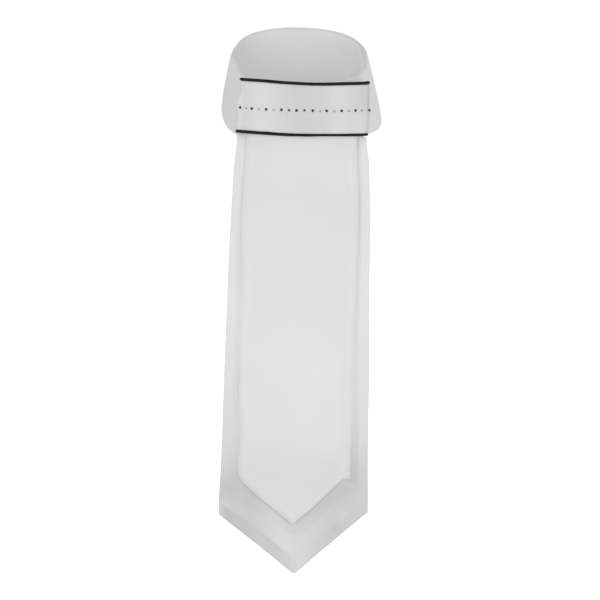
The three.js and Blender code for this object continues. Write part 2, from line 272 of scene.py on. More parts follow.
def bump_at(at, middle, reach):
    """A soft hump of height 1 round a middle."""
    return np.exp(-(((np.asarray(at, float) - middle) / reach) ** 2))


print("halfway between 0 and 10:", float(read_table({"a": (0, 1, 2), "b": (0, 5, 10)}, "b", 1.0)))

# %% [markdown]
# Pressed cotton is never quite flat. It keeps long shallow buckles from handling, a few tenths of a
# millimetre high. A sum of slow waves with fixed random directions gives them, and each piece asks with its
# own seed, so the result is the same on every run.

# %% Soft buckles
BUCKLE_WAVES = 7


def buckles(x, z, height, size, seed):
    """Slow uneven swells up to about a height. Size is the usual width of one, in the unit of x and z."""
    dice = np.random.default_rng(seed)
    total = np.zeros(np.broadcast(x, z).shape)
    for _ in range(BUCKLE_WAVES):
        turn = dice.uniform(0, np.pi)
        pitch = size * dice.uniform(0.7, 1.8)
        start = dice.uniform(0, 2 * np.pi)
        total += np.sin(2 * np.pi * (x * np.cos(turn) + z * np.sin(turn)) / pitch + start)
    return height * (total / BUCKLE_WAVES**0.5 / 1.4)


sample = buckles(np.linspace(0, 100, 50)[None], np.linspace(0, 400, 80)[:, None], 1.0, 60.0, 3)
print("buckles from", round(float(sample.min()), 2), "to", round(float(sample.max()), 2))

# %% [markdown]
# Every cloth piece of a stock is two layers sewn face to face, turned and pressed. So its edge isn't a cut
# edge but a fold: a small round roll, a little fatter than the cloth beside it because the seam allowance
# lies inside. A Solidify modifier would give square edges. Here the wall is built on a grid that is dense at
# the edges, and its thickness follows the distance to the nearest edge.

# %% Cloth: the grid and its edges
EDGE_STEPS = np.array((0.0, 0.05, 0.18, 0.4, 0.7, 1.1, 1.6, 2.2, 3.0, 4.0))


def grid_steps(length, pitch):
    """Places from 0 to 1 along a length in millimetres, a pitch apart, and close together at both ends."""
    count = max(2, round((length - 2 * EDGE_STEPS[-1]) / pitch))
    middle = np.linspace(EDGE_STEPS[-1], length - EDGE_STEPS[-1], count + 1)
    return np.concatenate([EDGE_STEPS[:-1], middle, (length - EDGE_STEPS[:-1])[::-1]]) / length


def edge_distances(points, loop):
    """How far each point of a grid is from the nearest open edge, along its row, and down its column."""
    def running(axis):
        step = np.linalg.norm(np.diff(points, axis=axis), axis=-1)
        start = np.zeros_like(np.take(step, [0], axis=axis))
        return np.concatenate([start, np.cumsum(step, axis=axis)], axis=axis)

    down, across = running(0), running(1)
    along, fall = np.gradient(points, axis=1), np.gradient(points, axis=0)
    size = np.linalg.norm(along, axis=-1) * np.linalg.norm(fall, axis=-1)
    slant = np.linalg.norm(np.cross(along, fall), axis=-1) / np.maximum(size, 1e-12)
    ends = np.minimum(down, down[-1:] - down) * slant
    sides = np.minimum(across, across[:, -1:] - across) * slant
    return (ends if loop else np.minimum(ends, sides)), across, down


print("steps over 50 mm:", len(grid_steps(50.0, 1.7)))

# %% Cloth: the rolled edge and the iron
EDGE_ROUND = 0.62
ROLL_AT, ROLL_REACH = 1.7, 1.3
IRON_OVER = (6.0, 0.5)


def rolled_edge(distance, wall, roll, pressed):
    """Half the thickness at a distance from the edge, and a share that is 0 at the edge and 1 just inside it.
    Pressed is how much of the wall the iron took away towards the edge."""
    near = np.clip(distance / (EDGE_ROUND * wall), 0.0, 1.0)
    half = 0.5 * wall * np.sqrt(1 - (1 - near) ** 2) + roll * bump_at(distance, ROLL_AT, ROLL_REACH) * near
    return half * (1 - pressed * ease(distance, *IRON_OVER)), near


print("half thickness at 0, 1 and 9 mm:", rolled_edge(np.array((0.0, 1.0, 9.0)), 1.5, 0.1, 0.3)[0].round(2))

# %% [markdown]
# The wall has a front and a back grid that share their edge points, so it is closed. The cloth keeps its own
# coordinates in a UV layer named grain, in millimetres across and along the weave. Each point also stores
# its distance from the edge and a value of painted light and shade: where it is high the cloth is painted
# lighter, and where it is low it is painted darker, standing in for light and shade that falls on it.

# %% Cloth: quads, grain and outside
def quads(grid, flip=False):
    """The four corners of each quad of a grid, in order round it."""
    a, b, c, d = grid[:-1, :-1], grid[1:, :-1], grid[1:, 1:], grid[:-1, 1:]
    return np.stack((a, d, c, b) if flip else (a, b, c, d), axis=2).reshape(-1, 4, *grid.shape[2:])


def add_grain(piece, corner_grain, **point_values):
    """Stores the cloth's own coordinates, and other values that each point has."""
    layer = piece.data.uv_layers.new(name="grain")
    layer.uv.foreach_set("vector", np.asarray(corner_grain, np.float32).ravel())
    for label, numbers in point_values.items():
        values = piece.data.attributes.new(label, "FLOAT", "POINT")
        values.data.foreach_set("value", np.asarray(numbers, np.float32).ravel())


def face_outward(piece):
    """Turns a closed mesh's faces over where they look inward, and says how much it holds."""
    shape = bmesh.new()
    shape.from_mesh(piece.data)
    volume = shape.calc_volume(signed=True) / MM**3
    shape.free()
    if volume < 0:
        piece.data.flip_normals()
    print(piece.name, "faces:", len(piece.data.polygons), "holds mm3:", round(abs(volume)))
    return piece


print("quads in a grid of 3 by 5 points:", len(quads(np.arange(15).reshape(3, 5))))

# %% Cloth: the wall
def cloth_wall(name, points, wall, roll, loop=False, back_extra=0.0, painted_lighting=0.0, back_painted_lighting=None, pressed=0.0):
    """A closed wall round a grid of middle points, rows down and columns across. Each point may have extra
    thickness at the back, and a value of painted light and shade, which may differ at the back."""
    painted_lighting = np.broadcast_to(painted_lighting, points.shape[:2])
    back_painted_lighting = painted_lighting if back_painted_lighting is None else np.broadcast_to(back_painted_lighting, painted_lighting.shape)
    if loop:
        points = np.concatenate([points, points[:, :1]], axis=1)
    rows, columns = points.shape[:2]
    distance, across, down = edge_distances(points, loop)
    along, fall = np.gradient(points, axis=1), np.gradient(points, axis=0)
    if loop:
        along[:, 0] = along[:, -1] = points[:, 1] - points[:, -2]
    normal = np.cross(fall, along)
    normal /= np.maximum(np.linalg.norm(normal, axis=-1, keepdims=True), 1e-12)
    half, near = rolled_edge(distance, wall, roll, pressed)
    front = points + normal * half[..., None]
    rear = points - normal * (half + back_extra * near)[..., None]
    kept = columns - 1 if loop else columns
    column = np.arange(columns) % kept
    inner = np.zeros((rows, kept), bool)
    inner[1:-1, slice(None) if loop else slice(1, -1)] = True
    front_index = np.arange(rows)[:, None] * kept + column[None]
    rear_index = front_index[:, :kept].copy()
    rear_index[inner] = rows * kept + np.arange(inner.sum())
    grain = np.stack([across - across[:, -1:] / 2, -down], axis=-1)

    def both(front_values, rear_values):
        """Values of the front's points, followed by those of the back's own points."""
        front_values, rear_values = front_values[:, :kept], rear_values[:, :kept]
        return np.concatenate([front_values.reshape(-1, *front_values.shape[2:]), rear_values[inner]])

    faces = np.concatenate([quads(front_index), quads(rear_index[:, column], flip=True)])
    piece = link_mesh(name, both(front, rear), faces)
    corner_grain = np.concatenate([quads(grain), quads(grain, flip=True)])
    # Each point's painted light and shade is stored as an attribute that the cotton finish reads.
    add_grain(piece, corner_grain, edge_mm=both(distance, distance), nap=both(painted_lighting, back_painted_lighting))
    area = float(np.linalg.norm(np.cross(along, fall), axis=-1).sum()) * MM * MM
    print(name, "cloth area m2:", round(area, 5))
    return face_outward(piece)


def dress(piece, material, node):
    """Gives a piece its finish, sets it on the body and puts it in a solid's place."""
    piece.data.materials.append(material)
    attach(piece, "root")
    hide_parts(node)


# %% [markdown]
# The finish of the cloth comes before the cloth pieces, so that each piece gets it as it is made. Effects
# that several finishes share are shader groups: small boxes of nodes with named sockets, built once. Each
# material then sets its own thread size, depth and shade on its copy of the box.

# %% Helpers for shader groups
def new_group(name, outputs=("Height", "Tone"), **inputs):
    """An empty shader group, its inputs, its output node and its sums. An input's first value is a number, or
    None for a vector."""
    tree = bpy.data.node_groups.new(name, "ShaderNodeTree")
    for label, value in inputs.items():
        kind = "NodeSocketVector" if value is None else "NodeSocketFloat"
        socket = tree.interface.new_socket(name=label, in_out="INPUT", socket_type=kind)
        if value is not None:
            socket.default_value = value
    for label in outputs:
        tree.interface.new_socket(name=label, in_out="OUTPUT", socket_type="NodeSocketFloat")
    given, gives = tree.nodes.new("NodeGroupInput").outputs, tree.nodes.new("NodeGroupOutput")
    return tree, given, gives, partial(maths, tree)


def noise(tree, vector, scale, detail=2.0):
    """One Noise Texture over a vector, as a value round 0.5."""
    return add_node(tree, "TexNoise", {"Vector": vector, "Scale": scale, "Detail": detail}).outputs["Fac"]


def stretched(tree, vector, scale):
    """The vector with each part multiplied by its own number."""
    return add_node(tree, "VectorMath", {0: vector, 1: scale}, operation="MULTIPLY").outputs[0]


print("group helpers:", [helper.__name__ for helper in (new_group, noise, stretched)])

# %% [markdown]
# Cotton satin has long floats: each warp thread passes over four weft threads and dips under the fifth, and
# the dips are staggered so that no line shows. That gives the smooth face with fine upright ribs. Counting
# the threads with floor and modulo nodes places the dips exactly, which a plain noise can't do. The grain
# coordinates are in millimetres, so the thread keeps its size and follows each piece round every bend.

# %% Group: satin weave
EVERY, STAGGER, DIP_DEPTH, WEFT_SHARE = 5.0, 2.0, 0.6, 0.2
SLUB_STRETCH, WEAVE_TONE = (1.6, 0.06, 1.0), (0.05, 0.955)
weave_group, given, gives, calc = new_group("satin_weave", Grain=None, Thread=0.3, Depth=0.02, Slub=0.4)
parts = add_node(weave_group, "SeparateXYZ", {0: given["Grain"]}).outputs
warp, weft = (calc("DIVIDE", parts[axis], given["Thread"]) for axis in "XY")
turns = (calc("MULTIPLY", count, math.pi) for count in (warp, weft))
warp_round, weft_round = (calc("ABSOLUTE", calc("SINE", turn)) for turn in turns)
stagger = calc("MULTIPLY_ADD", calc("FLOOR", warp), STAGGER, calc("FLOOR", weft))
dip = calc("LESS_THAN", calc("FLOORED_MODULO", stagger, EVERY), 0.5)
float_height = calc("MULTIPLY", warp_round, calc("MULTIPLY_ADD", dip, -DIP_DEPTH, 1.0))
thick_thin = noise(weave_group, stretched(weave_group, given["Grain"], SLUB_STRETCH), 1.0)
slub = calc("MULTIPLY", calc("SUBTRACT", thick_thin, 0.5), given["Slub"])
face = calc("ADD", calc("MULTIPLY_ADD", weft_round, WEFT_SHARE, float_height), slub)
# The tone follows the float height: the dips are painted a little darker as painted shade, and the slubs vary
# it at random.
tone = calc("MULTIPLY_ADD", face, *WEAVE_TONE)
fill(weave_group, gives, {"Height": calc("MULTIPLY", face, given["Depth"]), "Tone": tone})
print(weave_group.name, "nodes:", len(weave_group.nodes))

# %% [markdown]
# Handling leaves broad, faint differences in how the cloth lies and takes the light. Two sizes of noise over
# the piece give them: a slow one for the shade and a quicker one for the small dimples in the surface.

# %% Group: handled cloth
SLOW_SHARE, QUICK_SHARE, QUICK_SCALE, QUICK_STRETCH = 0.7, 0.3, 5.0, (1.0, 0.45, 1.0)
handling_group, given, gives, calc = new_group("handled_cloth", Grain=None, Size=40.0, Depth=0.08, Shade=0.03)
size = add_node(handling_group, "CombineXYZ", {axis: given["Size"] for axis in "XYZ"}).outputs[0]
place = add_node(handling_group, "VectorMath", {0: given["Grain"], 1: size}, operation="DIVIDE").outputs[0]
slow = noise(handling_group, place, 1.0, detail=1.0)
quick = noise(handling_group, stretched(handling_group, place, QUICK_STRETCH), QUICK_SCALE)
uneven = calc("ADD", calc("MULTIPLY", slow, SLOW_SHARE), calc("MULTIPLY", quick, QUICK_SHARE))
tone = calc("ADD", calc("MULTIPLY", calc("SUBTRACT", 0.5, slow), given["Shade"]), 1.0)
fill(handling_group, gives, {"Height": calc("MULTIPLY", uneven, given["Depth"]), "Tone": tone})
print(handling_group.name, "nodes:", len(handling_group.nodes))

# %% [markdown]
# Under each edge the seam allowance is folded in. From outside it shows as a faint step some millimetres in,
# and the doubled cloth over it is a touch whiter. The fold itself is burnished by the iron and by hands, so
# its threads are flatter and smoother. The edge distance that the wall stores drives all three.

# %% Group: turned edge
ALLOWANCE_EDGE, BURNISHED_RIM = (0.9, -0.9), (1.6, 0.2)


def fading(tree, kind, value, none_at, full_at):
    """A soft step that is 0 at one value and 1 at another."""
    reach = {"Value": value, "From Min": none_at, "From Max": full_at}
    return add_node(tree, "MapRange", reach, interpolation_type=kind).outputs["Result"]


edge_group, given, gives, calc = new_group(
    "turned_edge", ("Height", "Tone", "Burnish"), Edge=50.0, Allowance=7.0, Step=0.1, White=0.02)
past = calc("SUBTRACT", given["Edge"], given["Allowance"])
doubled = fading(edge_group, "SMOOTHERSTEP", past, *ALLOWANCE_EDGE)
fill(edge_group, gives, {
    "Height": calc("MULTIPLY", doubled, given["Step"]),
    "Tone": calc("MULTIPLY_ADD", doubled, given["White"], 1.0),
    "Burnish": fading(edge_group, "SMOOTHSTEP", given["Edge"], *BURNISHED_RIM),
})
print(edge_group.name, "nodes:", len(edge_group.nodes))

# %% [markdown]
# White cotton reflects between eight and nine tenths of the light. It isn't pure white, and that leaves
# room for its lit parts to read lighter than its hollows. A little sheen stands for the fine fibres that
# stand off the floats. Heights from the groups are in millimetres, so one Bump node with a distance of a
# millimetre takes their sum. The base colour also carries the painted light and shade that each point
# stores. The keeper's white is painted a little greyer and the tails' the whitest, as painted shade and
# painted light on one cotton.

# %% Helpers for cloth materials
def add_group(tree, group, **inputs):
    """A group's outputs in a material, with the material's own values."""
    return add_node(tree, "Group", inputs, node_tree=group).outputs


def grain_of(tree):
    """The cloth's own coordinates."""
    return add_node(tree, "UVMap", uv_map="grain").outputs["UV"]


def stored(tree, label):
    """A value that the cloth's points store."""
    return add_node(tree, "Attribute", attribute_name=label).outputs["Fac"]


def two_tones(tree, dark, light, tone):
    """A colour that goes from dark to light with a tone."""
    ends = {"A": (*dark, 1.0), "B": (*light, 1.0), "Factor": tone}
    return add_node(tree, "Mix", ends, data_type="RGBA").outputs["Result"]


def relief(tree, *heights):
    """The normal of a surface with the sum of some heights in millimetres."""
    total = heights[0]
    for height in heights[1:]:
        total = maths(tree, "ADD", total, height)
    return add_node(tree, "Bump", {"Distance": MM, "Strength": 1.0, "Height": total}).outputs["Normal"]


print("material helpers:", [helper.__name__ for helper in (add_group, grain_of, stored, two_tones, relief)])

# %% Material: white cotton satin
PAINTED_SHADING_STEP = 0.08
ROUGH_CLOTH, BURNISHED, ROUGH_DIP = 0.66, 0.12, 2.0


def white_cotton(name, white, thread, size, depth, shade, allowance, step):
    """Cotton satin from its white, its thread, the size, depth and shade of its handling, and the width and
    step of its turned edge."""
    material, tree, shader = new_material(name)
    calc, grain = partial(maths, tree), grain_of(tree)
    weave = add_group(tree, weave_group, Grain=grain, Thread=thread, Depth=0.03, Slub=0.5)
    handled = add_group(tree, handling_group, Grain=grain, Size=size, Depth=depth, Shade=shade)
    edge = stored(tree, "edge_mm")
    turned = add_group(tree, edge_group, Edge=edge, Allowance=allowance, Step=step, White=0.015)
    # The stored value paints light and shade into the base colour.
    painted_lighting = calc("MULTIPLY_ADD", stored(tree, "nap"), PAINTED_SHADING_STEP, 1 - PAINTED_SHADING_STEP)
    tone = calc("MULTIPLY", calc("MULTIPLY", weave["Tone"], handled["Tone"]), turned["Tone"])
    smooth = calc("MULTIPLY_ADD", turned["Burnish"], -BURNISHED, ROUGH_CLOTH)
    fill(tree, shader, {
        "Base Color": two_tones(tree, (0.0, 0.0, 0.0), white, calc("MULTIPLY", tone, painted_lighting)),
        "Roughness": calc("SUBTRACT", smooth, calc("MULTIPLY", weave["Height"], ROUGH_DIP)),
        "Normal": relief(tree, weave["Height"], handled["Height"], turned["Height"]),
        "Specular IOR Level": 0.35, "Sheen Weight": 0.12, "Sheen Roughness": 0.4,
    })
    return material


# One cotton in three whites: the keeper's is painted greyer as painted shade, and the tails' whitest as
# painted light.
band_cotton = white_cotton(
    "band_cotton", white=(0.875, 0.875, 0.87), thread=0.30, size=34.0, depth=0.5, shade=0.05,
    allowance=8.0, step=0.10)
keeper_cotton = white_cotton(
    "keeper_cotton", white=(0.85, 0.85, 0.845), thread=0.28, size=26.0, depth=0.4, shade=0.05,
    allowance=5.0, step=0.08)
tail_cotton = white_cotton(
    "tail_cotton", white=(0.93, 0.93, 0.925), thread=0.30, size=46.0, depth=0.4, shade=0.035,
    allowance=8.0, step=0.12)
print("cloth materials:", [cotton.name for cotton in (band_cotton, keeper_cotton, tail_cotton)])

# %% [markdown]
# The neckband is one lined strap about five centimetres tall. Worn, it goes once round the neck, climbs from
# the throat to the nape and laps over itself behind. It could be bent from a flat strap by a cloth
# simulation, but its worn form is known from the measured outline, so each edge is drawn as a ring and the
# cloth spans between them. A table over the angle round the neck, 0 in front, settles both rings as worn
# cloth does: how far the foot drops, how far the top lifts, and how far each spreads.

# %% Neckband: its measures
BAND_WALL = 1.8
BAND_TOP = {
    "half": 59.6, "front": 53.0, "back": 59.0, "round_front": 3.2, "round_back": 2.25,
    "height": 6.2, "tilt": 19.6,
}
BAND_FOOT = {
    "half": 69.0, "front": 53.5, "back": 62.0, "round_front": 2.4, "round_back": 2.15,
    "height": -44.0, "tilt": 19.5,
}
BAND_SETTLE = {
    "angle": (0, 30, 45, 60, 75, 95, 112, 130, 180, 230, 250, 265, 280, 290, 300, 312, 335, 360),
    "foot_drop": (
        0.0, 0.9, 1.5, 3.2, 4.5, 4.0, 2.5, 1.0, 0.0, 0.0, -1.2, -2.0, 0.8, 4.0, 6.0, 7.0, 4.6, 0.0),
    "foot_spread": (
        0.0, 0.0, 0.0, 0.7, 1.4, 1.4, 0.7, 0.0, 0.0, 0.5, 0.6, 0.6, 0.7, 1.0, 0.6, -0.2, -0.1, 0.0),
    "top_lift": (
        -4.2, -3.4, -2.6, -0.7, 0.3, 0.4, 0.4, 0.7, 0.6, 0.1, -0.5, -0.6, 0.4, -0.1, -4.2, -6.1, -5.0, -4.2),
    "top_spread": (
        0.0, -0.6, -1.6, -3.0, -3.6, -3.7, -3.7, -2.7, -0.5, 0.4, 0.4, 1.7, 3.0, -0.6, 0.1, -0.6, -0.4, 0.0),
}


def band_edge(plan, angle, inset, spread, lift):
    """One edge of the band's ring at an angle, moved in from the outer face by an inset."""
    sine, cosine = np.sin(np.radians(angle)), np.cos(np.radians(angle))
    ahead = cosine > 0
    bend = np.where(ahead, plan["round_front"], plan["round_back"])
    depth = np.where(ahead, plan["front"], plan["back"]) - inset
    share = (np.abs(sine) / (plan["half"] - inset)) ** bend + (np.abs(cosine) / depth) ** bend
    reach = share ** (-1 / bend) + spread
    climb = (plan["front"] - (reach + inset) * cosine) * math.tan(math.radians(plan["tilt"]))
    return np.stack([reach * sine, -reach * cosine, plan["height"] + climb + lift], axis=-1)


def band_point(angle, share, inset):
    """The band at an angle and a share of its height, 0 at the foot and 1 at the top."""
    def settle(column):
        return read_table(BAND_SETTLE, column, np.mod(angle, 360.0))

    foot = band_edge(BAND_FOOT, angle, inset, settle("foot_spread"), -settle("foot_drop"))
    top = band_edge(BAND_TOP, angle, inset, settle("top_spread"), settle("top_lift"))
    return foot + (top - foot) * share[..., None]


print("front of the band's top edge:", band_point(np.array(0.0), np.array(1.0), 0.9).round(1))

# %% [markdown]
# The strap starts inside on the right, goes once round and ends outside behind the nape. Where it laps, the
# inner turn runs closer in, by the two cloths and the fastening between them. The laps meet again along
# their edges and at each end, because only the fastening holds them apart. The strap's ends are turned with
# rounded corners, as on the real one, so the rows draw together over the last millimetres.

# %% Neckband: how the strap laps
BAND_LENGTH, BAND_HEIGHT, BAND_CORNER, BAND_PITCH = 480.0, 50.0, 7.0, 1.7
BAND_CLOTH, BAND_PRESSED, END_PRESSED = 1.5, 0.35, 0.85
LAP_START, LAP_LENGTH, LAP_EASE, LAP_GAP = 112.0, 84.0, 40.0, 0.12
LAP_END, STRAP_END = LAP_START + LAP_LENGTH, LAP_START + LAP_LENGTH + 360
INNER_TUCK, OUTER_TUCK = 26.0, 15.0
PAD_WALL, GAP = 1.4, 0.35


def round_ends(length, height, corner, pitch):
    """The steps along a strap, the distance from its ends, and the share of its height that its rows have
    where they draw together round its corners."""
    u, v = grid_steps(length, pitch), grid_steps(height, pitch)
    from_end = np.minimum(u, 1 - u)[None] * length
    near = np.clip(1 - from_end / corner, 0, 1)
    drawn = 1 - (corner / (height / 2)) * (1 - np.sqrt(1 - near**2))
    return u[None], from_end, 0.5 + (0.5 - v[:, None]) * drawn


def strap_inset(angle, share, from_end):
    """How far the strap's middle lies inside the band's outer face."""
    from_side = np.minimum(share, 1 - share) * BAND_HEIGHT
    thin_side = BAND_PRESSED * ease(from_side, *IRON_OVER)
    thin_end = np.maximum(thin_side, END_PRESSED * ease(from_end, *IRON_OVER))
    touching = BAND_CLOTH * (1 - 0.5 * (thin_side + thin_end)) + LAP_GAP
    held_apart = BAND_WALL + PAD_WALL + 2 * GAP - touching
    apart = held_apart * ease(share, 0.0, 0.26) * ease(share, 1.0, 0.76)
    inner = BAND_WALL / 2 + touching + apart * ease(angle, LAP_START, LAP_START + INNER_TUCK)
    inset = inner + (BAND_WALL / 2 - inner) * ease(angle, LAP_END, LAP_END + LAP_EASE)
    return inset + apart * ease(angle, STRAP_END - OUTER_TUCK, STRAP_END)


print("strap turns", 360 + LAP_LENGTH, "degrees round the neck")

# %% [markdown]
# Slow buckles and a soft bow across its height keep the strap from looking like sheet metal. They are held
# back in front, where the keeper presses on it, and behind, where it laps. Light and shade are also painted
# on it: painted light at the right side of the neck and over the end of the inner lap, where it covers the
# shade of that end, and painted shade along the top edge, at the nape and at the left towards the back.
# Angles run from -180 to 180 degrees here, with 0 in front.

# %% Neckband: the strap
BAND_BUCKLES, BAND_BOW = {"height": 0.35, "size": 60.0, "seed": 11}, 0.5
# Painted light and shade on the band: a usual level, painted shade at the rim and the nape, and patches.
USUAL_PAINTED_LIGHT, RIM_PAINTED_SHADE, NAPE_PAINTED_SHADE = 0.25, -0.9, -0.38
BAND_PAINTED_PATCHES = (
    {"nap": 0.95, "angle": 78, "reach": 34},
    {"nap": 1.8, "angle": LAP_START, "reach": 2.0},
    {"nap": -0.3, "angle": -108, "reach": 18},
)


def band_painted_lighting(around, share):
    """The painted light and shade on the band at an angle from -180 to 180 and a share of its height."""
    painted_lighting = USUAL_PAINTED_LIGHT + RIM_PAINTED_SHADE * ease((1 - share) * BAND_HEIGHT, 3.0, 0.5)
    for patch in BAND_PAINTED_PATCHES:
        painted_lighting = painted_lighting + patch["nap"] * bump_at(around, patch["angle"], patch["reach"])
    return painted_lighting + NAPE_PAINTED_SHADE * ease(np.abs(around), 120, 160) * ease(share, 0.6, 0.95)


def band_strap():
    """Middle points of the strap, rows from the top edge to the foot edge and columns round the neck."""
    u, from_end, share = round_ends(BAND_LENGTH, BAND_HEIGHT, BAND_CORNER, BAND_PITCH)
    angle = np.broadcast_to(LAP_START + u * (360 + LAP_LENGTH), share.shape)
    around = np.mod(angle + 180, 360) - 180
    swell = buckles(around * BAND_LENGTH / (360 + LAP_LENGTH), share * BAND_HEIGHT, **BAND_BUCKLES)
    quiet = ease(np.abs(around), 30, 80) * (1 - 0.7 * ease(np.abs(around), 100, 120))
    bow = BAND_BOW * (1 - (2 * share - 1) ** 2)
    pressed = BAND_PRESSED + (END_PRESSED - BAND_PRESSED) * ease(from_end, 9.0, 4.0)
    inset = strap_inset(angle, share, from_end) - (swell + bow) * quiet
    return band_point(angle, share, inset), band_painted_lighting(around, share), pressed


strap, painted_lighting, pressed = band_strap()
neckband = cloth_wall("neckband_cloth", strap, BAND_CLOTH, roll=0.08, painted_lighting=painted_lighting, pressed=pressed)
dress(neckband, band_cotton, "neckband")

# %% [markdown]
# Behind the nape the two laps are joined by a fastening that the picture doesn't show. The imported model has
# one plain pad there. It is finished as a pair of woven tapes pressed face to face, each with a fuzzy side
# that grips the other. Cells of a Voronoi pattern stand for the loops of that fuzz.

# %% Material: fastening tape
PILE_TONE = (0.25, 0.75)
pile_group, given, gives, calc = new_group("loop_pile", Grain=None, Loop=0.5, Depth=0.15)
cells = {"Vector": given["Grain"], "Scale": calc("DIVIDE", 1.0, given["Loop"])}
loops = add_node(pile_group, "TexVoronoi", cells, voronoi_dimensions="2D")
crown = calc("SUBTRACT", 1.0, loops.outputs["Distance"])
# The hollows between the loops are painted darker and their crowns lighter, painted shade and light.
tone = calc("MULTIPLY_ADD", crown, *PILE_TONE)
fill(pile_group, gives, {"Height": calc("MULTIPLY", crown, given["Depth"]), "Tone": tone})


def woven_tape(name, dark, light, rough, gloss, group, own, **values):
    """A tape whose one group gives its tone, its relief and its gloss, with the shader's own settings."""
    material, tree, shader = new_material(name)
    woven = add_group(tree, group, Grain=grain_of(tree), **values)
    fill(tree, shader, {
        "Base Color": two_tones(tree, dark, light, woven["Tone"]),
        "Roughness": maths(tree, "MULTIPLY_ADD", woven["Height"], -gloss, rough),
        "Normal": relief(tree, woven["Height"]), **own,
    })
    print(name, "nodes:", len(tree.nodes))
    return material


fastening_tape = woven_tape(
    "fastening_tape", dark=(0.25, 0.25, 0.24), light=(0.80, 0.80, 0.78), rough=0.95, gloss=1.0,
    group=pile_group, own={"Sheen Weight": 0.3}, Loop=0.55, Depth=0.12)

# %% Fastening between the laps
PAD = {"from": 140.0, "to": 180.0, "low": 0.30, "high": 0.72}
PAD_LENGTH, PAD_HEIGHT, PAD_CORNER, PAD_PITCH = 41.0, 21.0, 2.5, 1.2


def pad_points():
    """Middle points of the pressed tapes, with corners that are cut round."""
    u, _, share = round_ends(PAD_LENGTH, PAD_HEIGHT, PAD_CORNER, PAD_PITCH)
    high = PAD["low"] + (PAD["high"] - PAD["low"]) * share
    angle = np.broadcast_to(PAD["from"] + (PAD["to"] - PAD["from"]) * u, high.shape)
    return band_point(angle, high, BAND_WALL + GAP + PAD_WALL / 2)


fastening = cloth_wall("fastening_pair", pad_points(), PAD_WALL, roll=0.0)
dress(fastening, fastening_tape, "closure_pad")

# %% [markdown]
# The keeper is the flat sleeve that stands in for a tied knot. Its front wall follows the curve of the
# throat, folds round the tails at both sides and closes behind them. On the real one it is a lined strip,
# pressed along its folds. Its plan is drawn first as one closed line; the wall is then raised along that
# line, so that front, folds and back are one piece of cloth. The layers inside lie a small gap apart.

# %% Keeper: its face and the layers behind it
KEEPER_WALL, TAIL_WALL = 1.4, 1.6
KEEPER_PLAN = {"half": 72.0, "front": 61.0, "round": 2.6}
SLOPE_STEP, LAYER_PASSES = 0.05, 8
FRONT_TAIL_INSET = KEEPER_WALL + GAP + TAIL_WALL / 2
BACK_TAIL_INSET = FRONT_TAIL_INSET + TAIL_WALL + GAP
KEEPER_BACK_INSET = BACK_TAIL_INSET + TAIL_WALL / 2 + GAP + KEEPER_WALL / 2


def face_depth(x):
    """How far forward the keeper's outer face lies."""
    share = np.abs(x) / KEEPER_PLAN["half"]
    return KEEPER_PLAN["front"] * (1 - share ** KEEPER_PLAN["round"]) ** (1 / KEEPER_PLAN["round"])


def face_outward_at(x):
    """The outward direction of the keeper's face in plan."""
    slope = (face_depth(x - SLOPE_STEP) - face_depth(x + SLOPE_STEP)) / (2 * SLOPE_STEP)
    outward = np.stack([slope, -np.ones_like(slope)], axis=-1)
    return outward / np.linalg.norm(outward, axis=-1, keepdims=True)


def layer_depth(x, inset):
    """How far forward the layer lies that runs an inset behind the face."""
    face = np.array(x, float)
    for _ in range(LAYER_PASSES):
        face = x + inset * face_outward_at(face)[..., 0]
    return face_depth(face) + inset * face_outward_at(face)[..., 1]


print("back of the keeper at the middle:", round(float(layer_depth(0.0, KEEPER_BACK_INSET)), 2))

# %% Keeper: the plan line
KEEPER_FRONT_END = 53.0
FOLD_STEPS, WALL_STEPS = 61, 420


def path_lengths(path):
    """How far along a path each of its points is."""
    return np.concatenate([[0], np.cumsum(np.linalg.norm(np.diff(path, axis=0), axis=1))])


def fold_line(side, inset, back_inset, turn):
    """Plan points round one fold, from the front wall to the back."""
    end = np.array(side * KEEPER_FRONT_END)
    outward = face_outward_at(end)
    face = np.array([end, -face_depth(end)])
    near, far = face - outward * inset, face - outward * back_inset
    centre, radius = (near + far) / 2, np.linalg.norm(near - far) / 2
    along = np.array([-outward[1] * side, outward[0] * side])
    turns = np.linspace(0, turn, FOLD_STEPS)[:, None]
    return centre + radius * (outward * np.cos(turns) + along * np.sin(turns))


def keeper_line(inset, back_inset, turn=math.pi, closed=True):
    """Plan points from the left fold over the front and round the right fold, and back behind the tails."""
    right, left = (fold_line(side, inset, back_inset, turn) for side in (1, -1))
    left = left[::-1]

    def wall(start, end, depth):
        x = np.linspace(start[0], end[0], WALL_STEPS)[1:-1]
        return np.stack([x, -layer_depth(x, depth)], axis=-1)

    rows = [left, wall(left[-1], right[0], inset), right]
    if closed:
        rows += [wall(right[-1], left[0], back_inset), left[:1]]
    return np.concatenate(rows)


plan = keeper_line(KEEPER_WALL / 2, KEEPER_BACK_INSET)

# %% [markdown]
# The front wall is fuller to the left and the right, and hollow a little left of the middle. Near the right
# end the cloth is creased just before it turns, and the fold beyond the crease bulges between the pipings.
# That shows as a thin dark line with a light strip beside it, drawn by the crease and the bulge and
# also painted as shade and light. On the left it turns without a crease, and its fold wavers. Its edges
# waver too, the middle sags, and the last tenths of a millimetre run into the piping.

